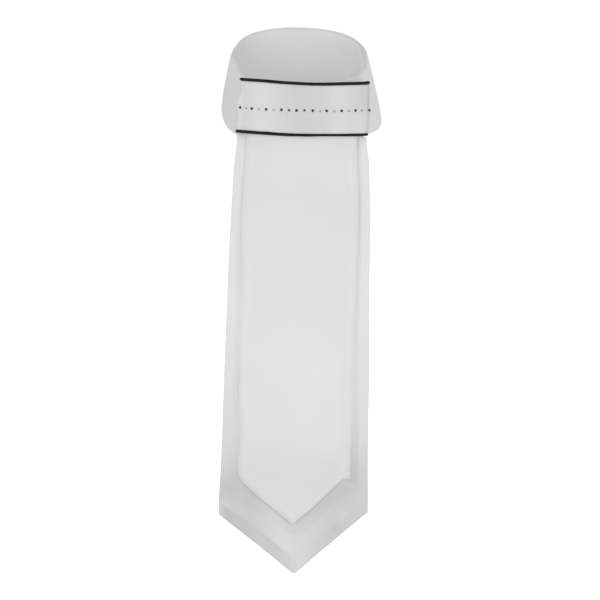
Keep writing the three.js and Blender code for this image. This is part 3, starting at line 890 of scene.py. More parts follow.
# %% Keeper: its waves and folds
KEEPER_LEVEL, KEEPER_HALF_HEIGHT, KEEPER_SAG = -19.0, 20.4, 0.7
SEAM_REACH, EDGE_TUCK = 0.28, 0.45
KEEPER_EDGES = {
    "x": (-51, -40, -30, -20, -10, 0, 10, 21, 31, 41, 51),
    "top": (0.4, 0.5, 0.15, -0.3, -0.5, -0.85, -1.1, -0.9, -0.7, -0.5, -0.4),
    "foot": (0.8, 0.75, 0.7, 0.3, 0.05, 0.0, 0.13, 0.25, 0.2, 0.25, 0.0),
}
KEEPER_SWELL = {
    "x": (-58, -50, -36, -18, -2, 14, 31, 44, 50, 58),
    "swell": (0.0, 0.38, 0.70, 0.15, -0.12, 0.0, 0.42, 0.15, 0.0, 0.0),
}
LEFT_FOLD = {
    "share": (0.0, 0.06, 0.25, 0.48, 0.60, 0.76, 0.90, 1.0),
    "shift": (-1.5, -1.7, -1.2, -1.8, -1.3, 1.1, 1.5, 1.3),
}
CREASE_AT, CREASE_DEPTH, CREASE_REACH = 53.2, 0.8, 0.9
FOLD_BULGE, SWELL_LEAN = 2.3, 3.0
KEEPER_BUCKLES = {"height": 0.12, "size": 30.0, "seed": 5}


def keeper_height(x, share):
    """The height of a point of the keeper at x and a share of its height, 0 at the foot and 1 at the top."""
    level = KEEPER_LEVEL - KEEPER_SAG * (1 - (x / KEEPER_FRONT_END) ** 2)
    foot, top = read_table(KEEPER_EDGES, "foot", x), read_table(KEEPER_EDGES, "top", x)
    return level + (2 * share - 1) * (KEEPER_HALF_HEIGHT + SEAM_REACH) + foot + (top - foot) * share


def keeper_swell(x, share):
    """How full the front wall is. The waves lean a little to the left going up."""
    return read_table(KEEPER_SWELL, "swell", x + SWELL_LEAN * (share - 0.5))


def keeper_relief(x, share):
    """How far the keeper's front stands out of its plan."""
    body = keeper_swell(x, share) + buckles(x, share * 41, **KEEPER_BUCKLES)
    hollow = -CREASE_DEPTH * bump_at(x, CREASE_AT, CREASE_REACH) * ease(share, 1.0, 0.93)
    at_edges = ease(share, 0.0, 0.12) * ease(share, 1.0, 0.88)
    return body * (0.35 + 0.65 * at_edges) + hollow


def keeper_shift(x, share):
    """How far to the right the sleeve moves at its folds: a bulge on the right, a wavering left fold."""
    bulge = FOLD_BULGE * ease(x, 49.0, 55.5) * ease(share, -0.03, 0.14) * ease(share, 1.02, 0.90)
    return bulge + read_table(LEFT_FOLD, "shift", share) * ease(x, -47, -55)


print("keeper's middle stands out", round(float(keeper_relief(0.0, np.array(0.5))), 2), "mm")

# %% [markdown]
# Where the sleeve is full it is painted a little lighter, as painted light on its swells. It gets painted
# shade darkest in the crease, and painted light on the two folds and on two low patches at the right.

# %% Keeper: the sleeve
KEEPER_COLUMNS, KEEPER_PITCH = 200, 1.3
# The swells, crease, folds and low patches below set painted light and shade on the sleeve.
USUAL_SWELL, SWELL_RANGE = 0.2, 0.56
CREASE_SHADE, MORE_ABOVE, CREASE_LINE = 1.1, 0.9, 0.8
RIGHT_FOLD_LIGHT, LEFT_FOLD_LIGHT = 1.8, 1.2
LOW_LIGHTS = (
    {"x": 49, "reach": 6, "light": 0.7, "fades": (0.6, 0.35)},
    {"x": 30, "reach": 10, "light": 0.25, "fades": (0.5, 0.25)},
)


def keeper_painted_lighting(x, share):
    """The painted light and shade on the sleeve's front, at x and a share of its height."""
    painted_lighting = (keeper_swell(x, share) - USUAL_SWELL) / SWELL_RANGE
    painted_lighting = painted_lighting - (CREASE_SHADE + MORE_ABOVE * ease(share, 0.3, 0.6)) * bump_at(x, CREASE_AT, CREASE_LINE)
    past_crease = ease(x, CREASE_AT + 0.6, CREASE_AT + 1.4)
    painted_lighting = painted_lighting + RIGHT_FOLD_LIGHT * past_crease * ease(share, 0.62, 0.45)
    for spot in LOW_LIGHTS:
        painted_lighting = painted_lighting + spot["light"] * bump_at(x, spot["x"], spot["reach"]) * ease(share, *spot["fades"])
    return painted_lighting + LEFT_FOLD_LIGHT * ease(x, -49.5, -53.5)


def keeper_sleeve():
    """Middle points of the sleeve, rows from its top edge to its foot edge and columns round it."""
    lengths = path_lengths(plan)

    def on_plan(at):
        """The plan's x and y at some lengths round it."""
        return np.stack([np.interp(at, lengths, plan[:, k], period=lengths[-1]) for k in (0, 1)])

    at = np.arange(KEEPER_COLUMNS) / KEEPER_COLUMNS * lengths[-1]
    x, y = on_plan(at)[:, None]
    step_x, step_y = on_plan(at + 0.5) - on_plan(at - 0.5)
    outward = np.stack([step_y, -step_x]) / np.hypot(step_x, step_y)
    share = 1 - grid_steps(2 * KEEPER_HALF_HEIGHT, KEEPER_PITCH)[:, None]
    is_front = ease(-y - (face_depth(np.clip(x, -55, 55)) - KEEPER_BACK_INSET / 2), 0.0, 2.0)
    stands = keeper_relief(x, share) * is_front
    tucked = ease(share, 0.955, 1.0) - ease(share, 0.045, 0.0)
    height = keeper_height(x, share) + EDGE_TUCK * tucked
    x_out = x + keeper_shift(x, share) + outward[0] * stands
    return np.stack([x_out, y + outward[1] * stands, height], axis=-1), keeper_painted_lighting(x, share) * is_front


sleeve, painted_lighting = keeper_sleeve()
keeper = cloth_wall("keeper_cloth", sleeve, KEEPER_WALL - 0.2, roll=0.05, loop=True, painted_lighting=painted_lighting)
dress(keeper, keeper_cotton, "keeper")

# %% [markdown]
# Both edges of the keeper carry piping: a cord wrapped in black satin tape that was cut on the bias, so that
# it bends round the folds without wrinkling much. The ribs of the tape run at a slant round the cord, and
# the tape puckers a little where it is sewn. Black satin is near black with a dull gleam.

# %% Material: black piping
PUCKER_STRETCH, RIB_TONE = (0.45, 0.25, 1.0), (0.4, 0.6)
bias_group, given, gives, calc = new_group("bias_tape", Grain=None, Rib=0.35, Depth=0.02, Pucker=0.05)
parts = add_node(bias_group, "SeparateXYZ", {0: given["Grain"]}).outputs
slant = calc("DIVIDE", calc("ADD", parts["X"], parts["Y"]), given["Rib"])
rib = calc("ABSOLUTE", calc("SINE", calc("MULTIPLY", slant, math.pi)))
pull = noise(bias_group, stretched(bias_group, given["Grain"], PUCKER_STRETCH), 1.0, detail=1.0)
rise = calc("MULTIPLY_ADD", rib, given["Depth"], calc("MULTIPLY", pull, given["Pucker"]))
# The rib crowns are painted a little lighter than the grooves, painted light and shade on the black satin.
fill(bias_group, gives, {"Height": rise, "Tone": calc("MULTIPLY_ADD", rib, *RIB_TONE)})

piping_satin = woven_tape(
    "piping_satin", dark=(0.002, 0.002, 0.002), light=(0.010, 0.010, 0.011), rough=0.55, gloss=1.2,
    group=bias_group, own={"Specular IOR Level": 0.12, "Sheen Weight": 0.01},
    Rib=0.4, Depth=0.03, Pucker=0.15)

# %% [markdown]
# A bevelled curve would give a perfect wire. A mesh tube that is swept along the edge lets the bead swell
# and pinch a little along its way, bulge where it turns, and end in a tucked tip behind the fold.

# %% Piping: a swept bead
BEAD_SIDES = 18
TIP_STEPS = np.array((0.0, 0.04, 0.14, 0.3, 0.5, 0.75, 1.05, 1.4))


def resample(path, pitch):
    """The same path with points a pitch apart, dense enough at both tips for their rounding."""
    lengths = path_lengths(path)
    middle = np.linspace(TIP_STEPS[-1], lengths[-1] - TIP_STEPS[-1], round(lengths[-1] / pitch))
    at = np.concatenate([TIP_STEPS[:-1], middle, (lengths[-1] - TIP_STEPS[:-1])[::-1]])
    return np.stack([np.interp(at, lengths, path[:, axis]) for axis in range(3)], axis=-1), at, lengths[-1]


def swept_bead(name, path, radius):
    """A closed tube along a path, with a radius for each path point and side."""
    along = np.gradient(path, axis=0)
    along /= np.linalg.norm(along, axis=1, keepdims=True)
    upward = np.array([0.0, 0.0, 1.0]) - along * along[:, 2:3]
    upward /= np.linalg.norm(upward, axis=1, keepdims=True)
    outward = np.cross(along, upward)
    turn = np.arange(BEAD_SIDES)[None, :, None] / BEAD_SIDES * 2 * np.pi
    spoke = outward[:, None] * np.cos(turn) + upward[:, None] * np.sin(turn)
    ring = path[:, None] + radius[..., None] * spoke
    index = np.arange(len(path))[:, None] * BEAD_SIDES + np.arange(BEAD_SIDES + 1) % BEAD_SIDES
    bead = link_mesh(name, ring, [*quads(index), index[0, :-1], index[-1, :-1][::-1]])
    around = np.arange(BEAD_SIDES + 1) / BEAD_SIDES * 2 * np.pi * float(radius.mean())
    grain = np.stack(np.broadcast_arrays(path_lengths(path)[:, None], around), axis=-1)
    add_grain(bead, np.concatenate([quads(grain).reshape(-1, 2), grain[0, :-1], grain[-1, :-1][::-1]]))
    return face_outward(bead)


# %% [markdown]
# The bead lies on the edge of the sleeve, one diameter tall, and follows its waves. Where it goes round a
# fold the tape bunches, so it is a little thicker there, most at the upper right as in the picture. Its
# thickness is a table over x, because the lower bead is plainly thinner right of the middle. At the left the
# upper bead turns a little sooner than the lower one.

# %% Piping: the two beads
KEEPER_BACK_FACE = KEEPER_BACK_INSET + KEEPER_WALL / 2
PIPING_TURN, PIPING_PITCH = math.radians(105), 0.9
TIP_LENGTH, TIP_LEAST, SEAM_PINCH = 1.2, 0.02, 0.06
PIPINGS = {
    "piping_top": {"side": 1, "seed": 21, "left_end": 1.5, "clear": 0.07},
    "piping_bottom": {"side": -1, "seed": 22, "left_end": -1.2, "clear": -0.13},
}
PIPING_THICKNESS = {
    "x": (-57, -51, -30, -12, 2, 20, 31, 45, 54, 57),
    "piping_top": (2.7, 2.8, 2.8, 2.7, 2.7, 2.8, 2.85, 2.8, 3.0, 3.1),
    "piping_bottom": (3.0, 2.9, 2.85, 2.65, 2.45, 2.2, 2.25, 2.45, 2.45, 2.4),
}


def bead_path(node, side, seed, left_end, clear):
    """The middle of a bead along an edge of the keeper, and round both folds."""
    line = keeper_line(0.0, KEEPER_BACK_FACE, turn=PIPING_TURN, closed=False)
    x, share = line[:, 0], 0.5 + 0.5 * side
    stands = keeper_relief(x, share) * ease(np.abs(x), KEEPER_FRONT_END, 51.5)
    moved = line + face_outward_at(np.clip(x, -KEEPER_FRONT_END, KEEPER_FRONT_END)) * stands[:, None]
    height = keeper_height(x, share) + side * (read_table(PIPING_THICKNESS, node, x) / 2 + clear)
    height = height + buckles(x, 0.0, 0.10, 24.0, seed)
    return np.stack([moved[:, 0] + left_end * ease(x, -44, -54), moved[:, 1], height], axis=-1)


def bead_radius(node, side, seed, path, at, length):
    """The radius of a bead at each path point and side: domed at its tips, uneven, pinched along its seam."""
    tip = np.clip(np.minimum(at, length - at) / TIP_LENGTH, 0, 1)
    domed = np.maximum(np.sqrt(1 - (1 - tip) ** 2), TIP_LEAST)
    uneven = 1 + buckles(at, 0.0, 0.035, 9.0, seed + 7)
    turn = np.arange(BEAD_SIDES) / BEAD_SIDES * 2 * np.pi
    seam = SEAM_PINCH * np.cos(turn + side * np.pi / 2) ** 8
    return (read_table(PIPING_THICKNESS, node, path[:, 0]) / 2 * domed * uneven)[:, None] * (1 - seam[None])


for node, bead in PIPINGS.items():
    path, at, length = resample(bead_path(node, **bead), PIPING_PITCH)
    radius = bead_radius(node, bead["side"], bead["seed"], path, at, length)
    dress(swept_bead(node + "_bead", path, radius), piping_satin, node)
    print(node, "length mm:", round(float(length), 1))

# %% [markdown]
# Two tails hang through the keeper: a wide, long one behind and a narrower, shorter one before it. Each is
# two layers of cotton, turned, with a pointed end. Inside the keeper they follow its curve, and below it
# they flatten as they hang. A cloth simulation from a flat cut would do this too, but pressed and lined
# cotton hangs almost straight, so the measured half widths, shifts and depths at a few levels say it better.
# The grid's rows start level at the top and bend down into a V, so that the last row is the slanting end.

# %% Tails: their measures
TAIL_TOP = KEEPER_LEVEL + KEEPER_HALF_HEIGHT - 1.0
ROWS_BEND_AT, POINT_SOFTNESS = -96.0, 0.014
FRONT_TAIL = {
    "level": (0, -41, -45, -50, -75, -120, -230, -400),
    "front": (57.8, 57.8, 58.8, 59.6, 60.5, 60.8, 60.8, 59.4),
    "crown": (9.0, 9.0, 9.0, 9.0, 7.5, 6.0, 4.8, 4.0),
    "curve": (1.0, 1.0, 0.8, 0.7, 0.3, 0.0, 0.0, 0.0),
}
FRONT_OUTLINE = {
    "level": (0, -43, -50, -71, -97, -132, -166, -201, -236, -270, -297, -337, -400),
    "half": (46.4, 46.4, 46.9, 48.0, 49.6, 49.8, 49.2, 48.9, 49.3, 49.7, 48.0, 48.6, 48.6),
    "shift": (0.3, 0.4, 0.9, 0.9, 0.9, 0.7, 0.6, 0.5, 0.9, 0.5, 0.5, 0.9, 1.0),
}
FRONT_TIP = {"level": -378.0, "rise_left": 40.4, "rise_right": 40.4, "half": 50.0}
BACK_TAIL = {
    "level": (0, -42, -50, -80, -120, -230, -400),
    "front": (55.9, 55.9, 56.3, 56.8, 57.0, 56.6, 55.4),
    "crown": (11.0, 11.0, 10.5, 8.5, 6.5, 4.5, 3.5),
    "curve": (1.0, 1.0, 0.8, 0.3, 0.0, 0.0, 0.0),
}
BACK_OUTLINE = {
    "level": (0, -42, -43.4, -50, -58, -66, -82, -100, -143, -187, -230, -318, -372, -430),
    "half": (50.2, 50.4, 55.0, 55.2, 56.2, 57.1, 57.9, 58.8, 60.2, 60.9, 62.1, 63.5, 65.0, 65.0),
    "shift": (0.0, 0.2, 0.5, 0.4, 0.2, 0.0, 0.2, 0.1, 0.65, 0.8, 0.6, 0.7, 0.8, -0.6),
}
BACK_TIP = {"level": -424.2, "rise_left": 51.6, "rise_right": 54.8, "half": 62.0}


def tail_grid(table, outline, inset, tip, pitch):
    """Middle points of a tail from its top edge to its point, how far across each lies from -1 to 1, how far
    it is from the slanting end, and the slope of that end."""
    u, v = grid_steps(2 * tip["half"], pitch), grid_steps(TAIL_TOP - tip["level"], pitch)
    across = (2 * u - 1)[None]
    level = (TAIL_TOP + (tip["level"] - TAIL_TOP) * v)[:, None]
    side = np.sqrt(across**2 + POINT_SOFTNESS**2)
    rise = np.where(across < 0, tip["rise_left"], tip["rise_right"])
    bent = np.clip((ROWS_BEND_AT - level) / (ROWS_BEND_AT - tip["level"]), 0, 1)
    z = level + rise * bent * side
    x = across * read_table(outline, "half", z) - read_table(outline, "shift", z)
    hanging = read_table(table, "front", z) - read_table(table, "crown", z) * across**2
    depth = hanging + (layer_depth(x, inset) - hanging) * read_table(table, "curve", z)
    slope = np.arctan2(rise, tip["half"])
    to_end = (z - tip["level"] - rise * side) * np.cos(slope)
    return np.stack([x, -depth, z], axis=-1), np.broadcast_to(across, z.shape), to_end, slope


print("tails hang", TAIL_TOP - FRONT_TIP["level"], "and", TAIL_TOP - BACK_TIP["level"], "mm")

# %% [markdown]
# Edges that were pressed over a hem don't stay flat. A hem that is stiffer than the cloth bends back along
# its inner line, and a loose corner rolls under. Both are a turn about a line that runs beside the edge, and
# a turn keeps the cloth's length, so the sheet isn't stretched.

# %% Tails: bent hems and rolled edges
def draw_back(points, slope, side, behind, lost):
    """Moves points backward, and inward from a slanting end by what the turn takes off their reach."""
    points[..., 1] += behind
    points[..., 0] -= side * np.sin(slope) * lost
    points[..., 2] += np.cos(slope) * lost


def bend_back(points, to_end, slope, side, reach, turn, softness=0.5):
    """Turns the cloth within a reach of a slanting end backward by an angle."""
    past = reach - to_end
    past = 0.5 * (past + np.sqrt(past**2 + softness**2)) - 0.5 * softness * np.exp(-np.abs(past) / softness)
    past = np.clip(past, 0, None)
    draw_back(points, slope, side, past * np.sin(turn), past * (1 - np.cos(turn)))


def roll_back(points, to_end, slope, side, reach, radius):
    """Rolls the cloth within a reach of a slanting end backward round a radius."""
    past = np.clip(reach - to_end, 0, None)
    turn = past / radius
    draw_back(points, slope, side, radius * (1 - np.cos(turn)), past - radius * np.sin(turn))


print("a 10 mm hem turned by 17 degrees goes back", round(10 * math.sin(math.radians(17)), 1), "mm")

# %% [markdown]
# The back tail comes first. It hangs in slow buckles from where the keeper lets it go. Low down it falls
# back towards both sides, so the front tail stands off it there. Its slanting end isn't quite straight: a
# table over x says how far the edge lies above or below a straight line.

# %% Back tail: how it hangs
BACK_PITCH, HANGS_FREE, LOW_END = 1.75, (-48, -100), (-290, -350)
BACK_BUCKLES = {"height": 0.55, "size": 52.0, "seed": 31}
LEFT_EDGE_BACK, SIDES_BACK = 0.7, 2.5
BACK_SLANT = {
    "x": (-64, -57, -50, -42, -38, -34, -29, -19, -15, -12, -8, -3, 1, 8, 15, 22, 28, 48, 52, 56, 60),
    "lift": (
        0, -0.6, -0.65, -0.6, -0.2, 0.1, 0.4, 0.35, 0, -0.4, -0.8, -0.95, -0.1, 0.25, 0.5, 0.4, 0.05, 0, -0.3,
        0, 0.4),
}
points, across, to_end, slope = tail_grid(BACK_TAIL, BACK_OUTLINE, BACK_TAIL_INSET, BACK_TIP, BACK_PITCH)
points[..., 2] += read_table(BACK_SLANT, "lift", points[..., 0]) * ease(to_end, 20, 0)
x, z = points[..., 0], points[..., 2]
low = ease(z, *LOW_END)
points[..., 1] -= ease(z, *HANGS_FREE) * buckles(x, z * 0.6, **BACK_BUCKLES)
points[..., 1] += ease(z, -250, -400) * LEFT_EDGE_BACK * bump_at(x, -66, 14)
points[..., 1] += low * SIDES_BACK * ease(np.abs(x), 20, 60)
print("back tail from", z.max().round(1), "to", z.min().round(1), "mm")

# %% [markdown]
# Most of what the picture shows of the back tail is tone, and here it is painted light and shade that each
# point stores. A painted picture of the shades could give it too, but it would be fixed to one tail of one
# size. A few curves are easier to change, each with one job. The first table is the usual painted light and
# shade of both tails from top to tip. EDGE_SHADE paints the shadow beside the front tail's two long edges,
# in a strip that widens downward on the right, and LEFT_PATCH adds a soft patch of painted shade on the left.
# SLANT_SHADE paints the shadow just below the front tail's slanting end, down to a level that follows that
# end. LOW_SHADE is the painted shade of the low end from left to right, least over the point, and three faint
# spots of painted shade and light go with it. HEM is how wide the bent hem is, and HEM_SHADE paints shade
# on it on the left.

# %% Back tail: the shades on it
# Painted light and shade of both tails from top to tip, lightest just under the keeper.
TAIL_PAINTED_LIGHTING = {
    "level": (0, -43, -47, -54, -60, -90, -120, -150, -200, -240, -280, -305, -335, -380, -430),
    "back": (1.6, 1.6, 1.1, 0.95, 0.85, 0.5, 0.35, 0.45, 0.5, 0.35, 0.1, -0.05, -0.15, 0.0, 0.0),
    "front": (1.3, 1.1, 0.4, 0.2, 0.2, 0.1, 0.2, 0.35, 0.55, 0.75, 0.75, 0.5, -0.1, 0.0, 0.0),
}
EDGE_SHADE = {
    "level": (0, -43, -50, -56, -71, -97, -132, -166, -236, -270, -297, -323, -345, -400),
    "left": (1.2, 1.2, 0.3, 0.0, 0.0, 0.0, 0.5, 0.9, 0.6, 0.45, 0.4, 0.5, 0.6, 0.0),
    "right": (3.5, 3.5, 2.6, 1.1, 0.8, 1.2, 1.0, 0.9, 0.8, 0.8, 1.1, 1.1, 1.0, 0.0),
    "right_width": (1.6, 1.6, 2.0, 2.8, 3.2, 2.9, 2.6, 2.6, 2.6, 3.2, 5.8, 6.2, 6.2, 6.2),
}
SLANT_SHADE = {
    "x": (-70, -60, -52, -46, -40, -36, -28, -20, -12, -4, 3, 10, 16, 22, 35, 46, 54, 66),
    "bottom": (
        -361, -361, -361, -362, -365, -368, -372, -376, -382, -387, -387, -384, -378, -370, -360, -353, -350,
        -348),
    "shade": (0.3, 0.4, 0.4, 0.4, 0.5, 0.6, 0.5, 0.25, 0.3, 0.7, 0.7, 0.6, 0.6, 0.6, 0.4, 0.6, 0.4, -0.4),
}
LOW_SHADE = {
    "x": (-66, -58, -50, -41, -33, -25, -15, -5, 3, 12, 22, 32, 41, 50, 66),
    "shade": (1.4, 1.25, 1.5, 1.72, 1.25, 0.7, 0.15, 0.05, 0.4, 0.65, 1.25, 1.6, 1.68, 1.5, 1.35),
}
LOW_SPOTS = (
    {"x": 42, "z": -371, "reach": 5, "shade": -0.7},
    {"x": 36, "z": -382, "reach": 4, "shade": 0.6},
    {"x": -58, "z": -345, "reach": 9, "shade": 0.7},
)
HEM = {"across": (-1, -0.85, -0.65, 0, 1), "wide": (8.0, 10.0, 12.5, 12.5, 10.5)}
HEM_SHADE = {
    "x": (-66, -60, -52, -45, -33, -25, -18, -10, 0),
    "shade": (1.2, 1.2, 0.8, 0.2, 0.3, 0.9, 1.4, 1.1, 0.7),
}
SIDES_END, SOFT_STRIP, SOFT_SLANT = (-346, -338), 0.9, 2.5
LEFT_STRIP, LEFT_PATCH, LEFT_PATCH_SHADE = {"middle": 1.2, "reach": 3.4}, {"middle": -283, "reach": 26}, 0.42
print("darkest shade of the low end:", max(LOW_SHADE["shade"]))

# %% Back tail: its painted light and shade
def beside_edges(x, z):
    """The shade beside the front tail's long edges."""
    half, shift = (read_table(FRONT_OUTLINE, column, z) for column in ("half", "shift"))
    past_left, past_right = -x - half - shift, x - half + shift
    left = read_table(EDGE_SHADE, "left", z) * bump_at(past_left, **LEFT_STRIP)
    wide = read_table(EDGE_SHADE, "right_width", z)
    in_strip = ease(past_right, wide + SOFT_STRIP, wide - SOFT_STRIP) * ease(past_right, -3.0, -1.0)
    shade = (left + read_table(EDGE_SHADE, "right", z) * in_strip) * ease(z, *SIDES_END)
    return shade + LEFT_PATCH_SHADE * bump_at(z, **LEFT_PATCH) * (x < 0)


def under_slants(x, z):
    """The shade just below the front tail's slanting end."""
    bottom, shade = (read_table(SLANT_SHADE, column, x) for column in ("bottom", "shade"))
    return shade * ease(z, bottom - SOFT_SLANT, bottom + SOFT_SLANT) * ease(z, *SIDES_END[::-1])


def low_end(x, z):
    """The shade of the low end, with its spots, each a fifth taller than wide."""
    shade = read_table(LOW_SHADE, "shade", x)
    for spot in LOW_SPOTS:
        across, down = bump_at(x, spot["x"], spot["reach"]), bump_at(z, spot["z"], spot["reach"] * 1.2)
        shade = shade + spot["shade"] * across * down
    return shade


hem = read_table(HEM, "wide", across)
on_left_hem = ease(to_end, hem + 0.8, hem - 0.8) * ease(across, -0.02, -0.05) * ease(across, -0.99, -0.90)
# The back tail's painted light, less the painted shade of its low end, hem, edges and slants.
nap = read_table(TAIL_PAINTED_LIGHTING, "back", z) - low * low_end(x, z)
nap = nap - read_table(HEM_SHADE, "shade", x) * on_left_hem - beside_edges(x, z) - under_slants(x, z)
print("nap from", nap.min().round(2), "to", nap.max().round(2))

# %% [markdown]
# The hem of the back tail is bent back along the whole left slant, where it catches less light and has
# painted shade too, and more softly along the middle of the right one. The cloth that is folded over makes it
# a little thicker behind, and the iron has pressed all its edges thin.

# %% Back tail: its hem
LEFT_HEM_TURN, RIGHT_HEM_TURN, HEM_FOLD = math.radians(17), math.radians(11), 0.22
TAIL_CLOTH, TAIL_BACK_PAINTED_LIGHTING = TAIL_WALL - 0.25, 0.5
along_left = ease(across, 0.03, -0.03) * (0.85 + 0.15 * np.cos(across * 9)) * ease(across, -1.0, -0.88)
along_right = ease(across, 0.16, 0.42) * ease(across, 1.04, 0.8)
bend_back(points, to_end, slope, -1, hem, LEFT_HEM_TURN * along_left)
bend_back(points, to_end, slope, 1, hem, RIGHT_HEM_TURN * along_right, softness=2.5)
hem_fold = HEM_FOLD * ease(to_end, hem + 0.3, hem - 0.3)
back_tail = cloth_wall(
    "back_tail_cloth", points, TAIL_CLOTH, roll=0.12, back_extra=hem_fold, painted_lighting=nap, back_painted_lighting=TAIL_BACK_PAINTED_LIGHTING,
    pressed=0.35)
dress(back_tail, tail_cotton, "back_tail")

# %% [markdown]
# The front tail lies close to the back one along its left slant and stands off it on the right, where its
# corner has rolled under a little. That is why its left slant has a thin dark line under it in the picture
# and its right slant a wide soft shadow. Its long edges curl back a little. Neither slant is straight: one
# table over the width, from -1 at the left to 1, says how far the end sags, and another how far it has
# rolled under. So the corner on the right looks cut off, as in the picture.

# %% Front tail: how it hangs
FRONT_PITCH, FRONT_HALF, FRONT_LOW = 1.6, 49.0, (-250, -345)
FRONT_BUCKLES = {"height": 0.35, "size": 70.0, "seed": 42}
CURL_REACH, CURL, ROLL_RADIUS = 6.0, 0.4, 1.3
LEFT_SIDE_BACK, RIGHT_SIDE_BACK = 1.4, 0.9
SLANT_ROLL = {
    "across": (-1.0, 0.0, 0.08, 0.2, 0.31, 0.42, 0.57, 0.65, 0.74, 0.83, 0.92, 1.0),
    "rolled": (0.0, 0.0, 1.2, 2.2, 2.6, 3.3, 3.8, 4.1, 4.05, 4.1, 3.3, 0.0),
}
SLANT_SAG = {
    "across": (
        -1, -0.95, -0.86, -0.72, -0.58, -0.44, -0.3, -0.16, -0.05, 0, 0.07, 0.15, 0.24, 0.33, 0.42, 0.6, 0.68,
        0.77, 0.86, 0.94, 1),
    "sag": (
        0, 0.6, 1.4, 1.9, 2.1, 1.4, 1, 0.6, 0.2, 0, -0.6, -0.25, 0.4, 0.75, 0.35, -0.15, -0.5,
        -0.7, -1.2, 0.2, 0.2),
}
points, across, to_end, slope = tail_grid(FRONT_TAIL, FRONT_OUTLINE, FRONT_TAIL_INSET, FRONT_TIP, FRONT_PITCH)
points[..., 2] -= read_table(SLANT_SAG, "sag", across) * ease(to_end, 60, 0)
x, z = points[..., 0], points[..., 2]
free, low = ease(z, *HANGS_FREE), ease(z, *FRONT_LOW)
from_side = (1 - np.abs(across)) * FRONT_HALF
curled = np.clip(CURL_REACH - from_side, 0, None)
points[..., 1] -= free * buckles(x, z * 0.5, **FRONT_BUCKLES)
points[..., 1] += low * LEFT_SIDE_BACK * ease(x, 6, -44)
points[..., 1] += low * RIGHT_SIDE_BACK * ease(x, 10, 44)
points[..., 1] += free * CURL * curled**2 / (2 * CURL_REACH)
roll_back(points, to_end, slope, 1, read_table(SLANT_ROLL, "rolled", across), ROLL_RADIUS)
print("front tail from", z.max().round(1), "to", z.min().round(1), "mm")

# %% [markdown]
# The front tail gets painted shade along its curled edges, towards both sides at two thirds of its length,
# and along its end, most of all at the left.

# %% Front tail: its painted light and shade, and its wall
CURL_SHADE, SIDE_SHADE, END_SHADE, LEFT_END_SHADE = 0.4, 0.4, 0.5, 0.6
at_left = across < 0
toward_side = ease(from_side, np.where(at_left, 11, 15), np.where(at_left, 3, 5))
toward_side = toward_side * ease(z, -215, -250) * ease(z, -325, -310)
# Painted shade on the front tail along its curls, its sides and its end.
nap = read_table(TAIL_PAINTED_LIGHTING, "front", z) - CURL_SHADE * ease(curled, 1.5, 6.0)
nap = nap - SIDE_SHADE * toward_side - END_SHADE * ease(to_end, 5.0, 0.5)
nap = nap - LEFT_END_SHADE * ease(to_end, 6.5, 1.0) * ease(x, -20, -34)
front_tail = cloth_wall(
    "front_tail_cloth", points, TAIL_CLOTH, roll=0.08, painted_lighting=nap, back_painted_lighting=TAIL_BACK_PAINTED_LIGHTING, pressed=0.5)
dress(front_tail, tail_cotton, "front_tail")

# %% [markdown]
# Both tails are sheets of cloth, so the flat area that each was cut to is printed, without the corners
# that the slanting end leaves out.

# %% Tails: their cut
def cut_area(outline, tip):
    """The flat area of a tail in square metres: its mean width times its length."""
    levels = np.linspace(tip["level"], TAIL_TOP, 400)
    slant = np.clip((levels - tip["level"]) / tip["rise_left"], 0, 1)
    width = 2 * read_table(outline, "half", levels) * slant
    return float(width.mean() * (levels[-1] - levels[0])) * MM * MM


for piece, outline, tip, rests in (
    (front_tail, FRONT_OUTLINE, FRONT_TIP, ["keeper_cloth", "back_tail_cloth"]),
    (back_tail, BACK_OUTLINE, BACK_TIP, ["keeper_cloth"]),
):
    area = cut_area(outline, tip)
    print(piece.name, "cut area m2:", round(area, 5))

# %% [markdown]
# Nineteen small stones run along the keeper, black and clear by turns. The black ones are opaque glass. The
# clear ones have a mirror foil behind them, as stones that are glued to cloth do, which keeps them bright.
# On two near the middle the foil is painted near black, a painted dark reflection, so they look almost
# black. A fine haze keeps each polish from being perfect.

# %% Materials: polished stones
HAZE_SCALE, METAL = 2600.0, {"Metallic": 1.0}
polish_group, given, gives, calc = new_group("polish_haze", ("Roughness",), Place=None, Clean=0.03, Haze=0.06)
haze = noise(polish_group, given["Place"], HAZE_SCALE, detail=3.0)
fill(polish_group, gives, {"Roughness": calc("MULTIPLY_ADD", haze, given["Haze"], given["Clean"])})


def polished(name, colour, clean, haze, own):
    """A polished stone or foil with a faint uneven haze, and the shader's own settings."""
    material, tree, shader = new_material(name)
    place = add_node(tree, "TexCoord").outputs["Object"]
    uneven = add_group(tree, polish_group, Place=place, Clean=clean, Haze=haze)
    fill(tree, shader, {"Base Color": (*colour, 1.0), "Roughness": uneven["Roughness"], **own})
    print(name, "nodes:", len(tree.nodes))
    return material


jet_glass = polished("jet_glass", (0.006, 0.006, 0.007), clean=0.04, haze=0.08, own={"IOR": 1.55})
clear_glass = polished(
    "clear_glass", (0.97, 0.975, 0.98), clean=0.0, haze=0.02, own={"IOR": 1.56, "Transmission Weight": 1.0})
mirror_foil = polished("mirror_foil", (0.42, 0.43, 0.44), clean=0.06, haze=0.12, own=METAL)
# A near black foil, a painted dark reflection for two clear stones.
dark_reflection_foil = polished("dark_reflection_foil", (0.05, 0.05, 0.052), clean=0.10, haze=0.20, own=METAL)

# %% [markdown]
# Each stone is cut like a round stone with a flat back: a table, eight stars, eight kites and sixteen small
# facets down to the girdle. A bevelled cylinder would have no stars. So the four rings of corners are laid
# out from the top down, and the facets are drawn between them, without smoothing.

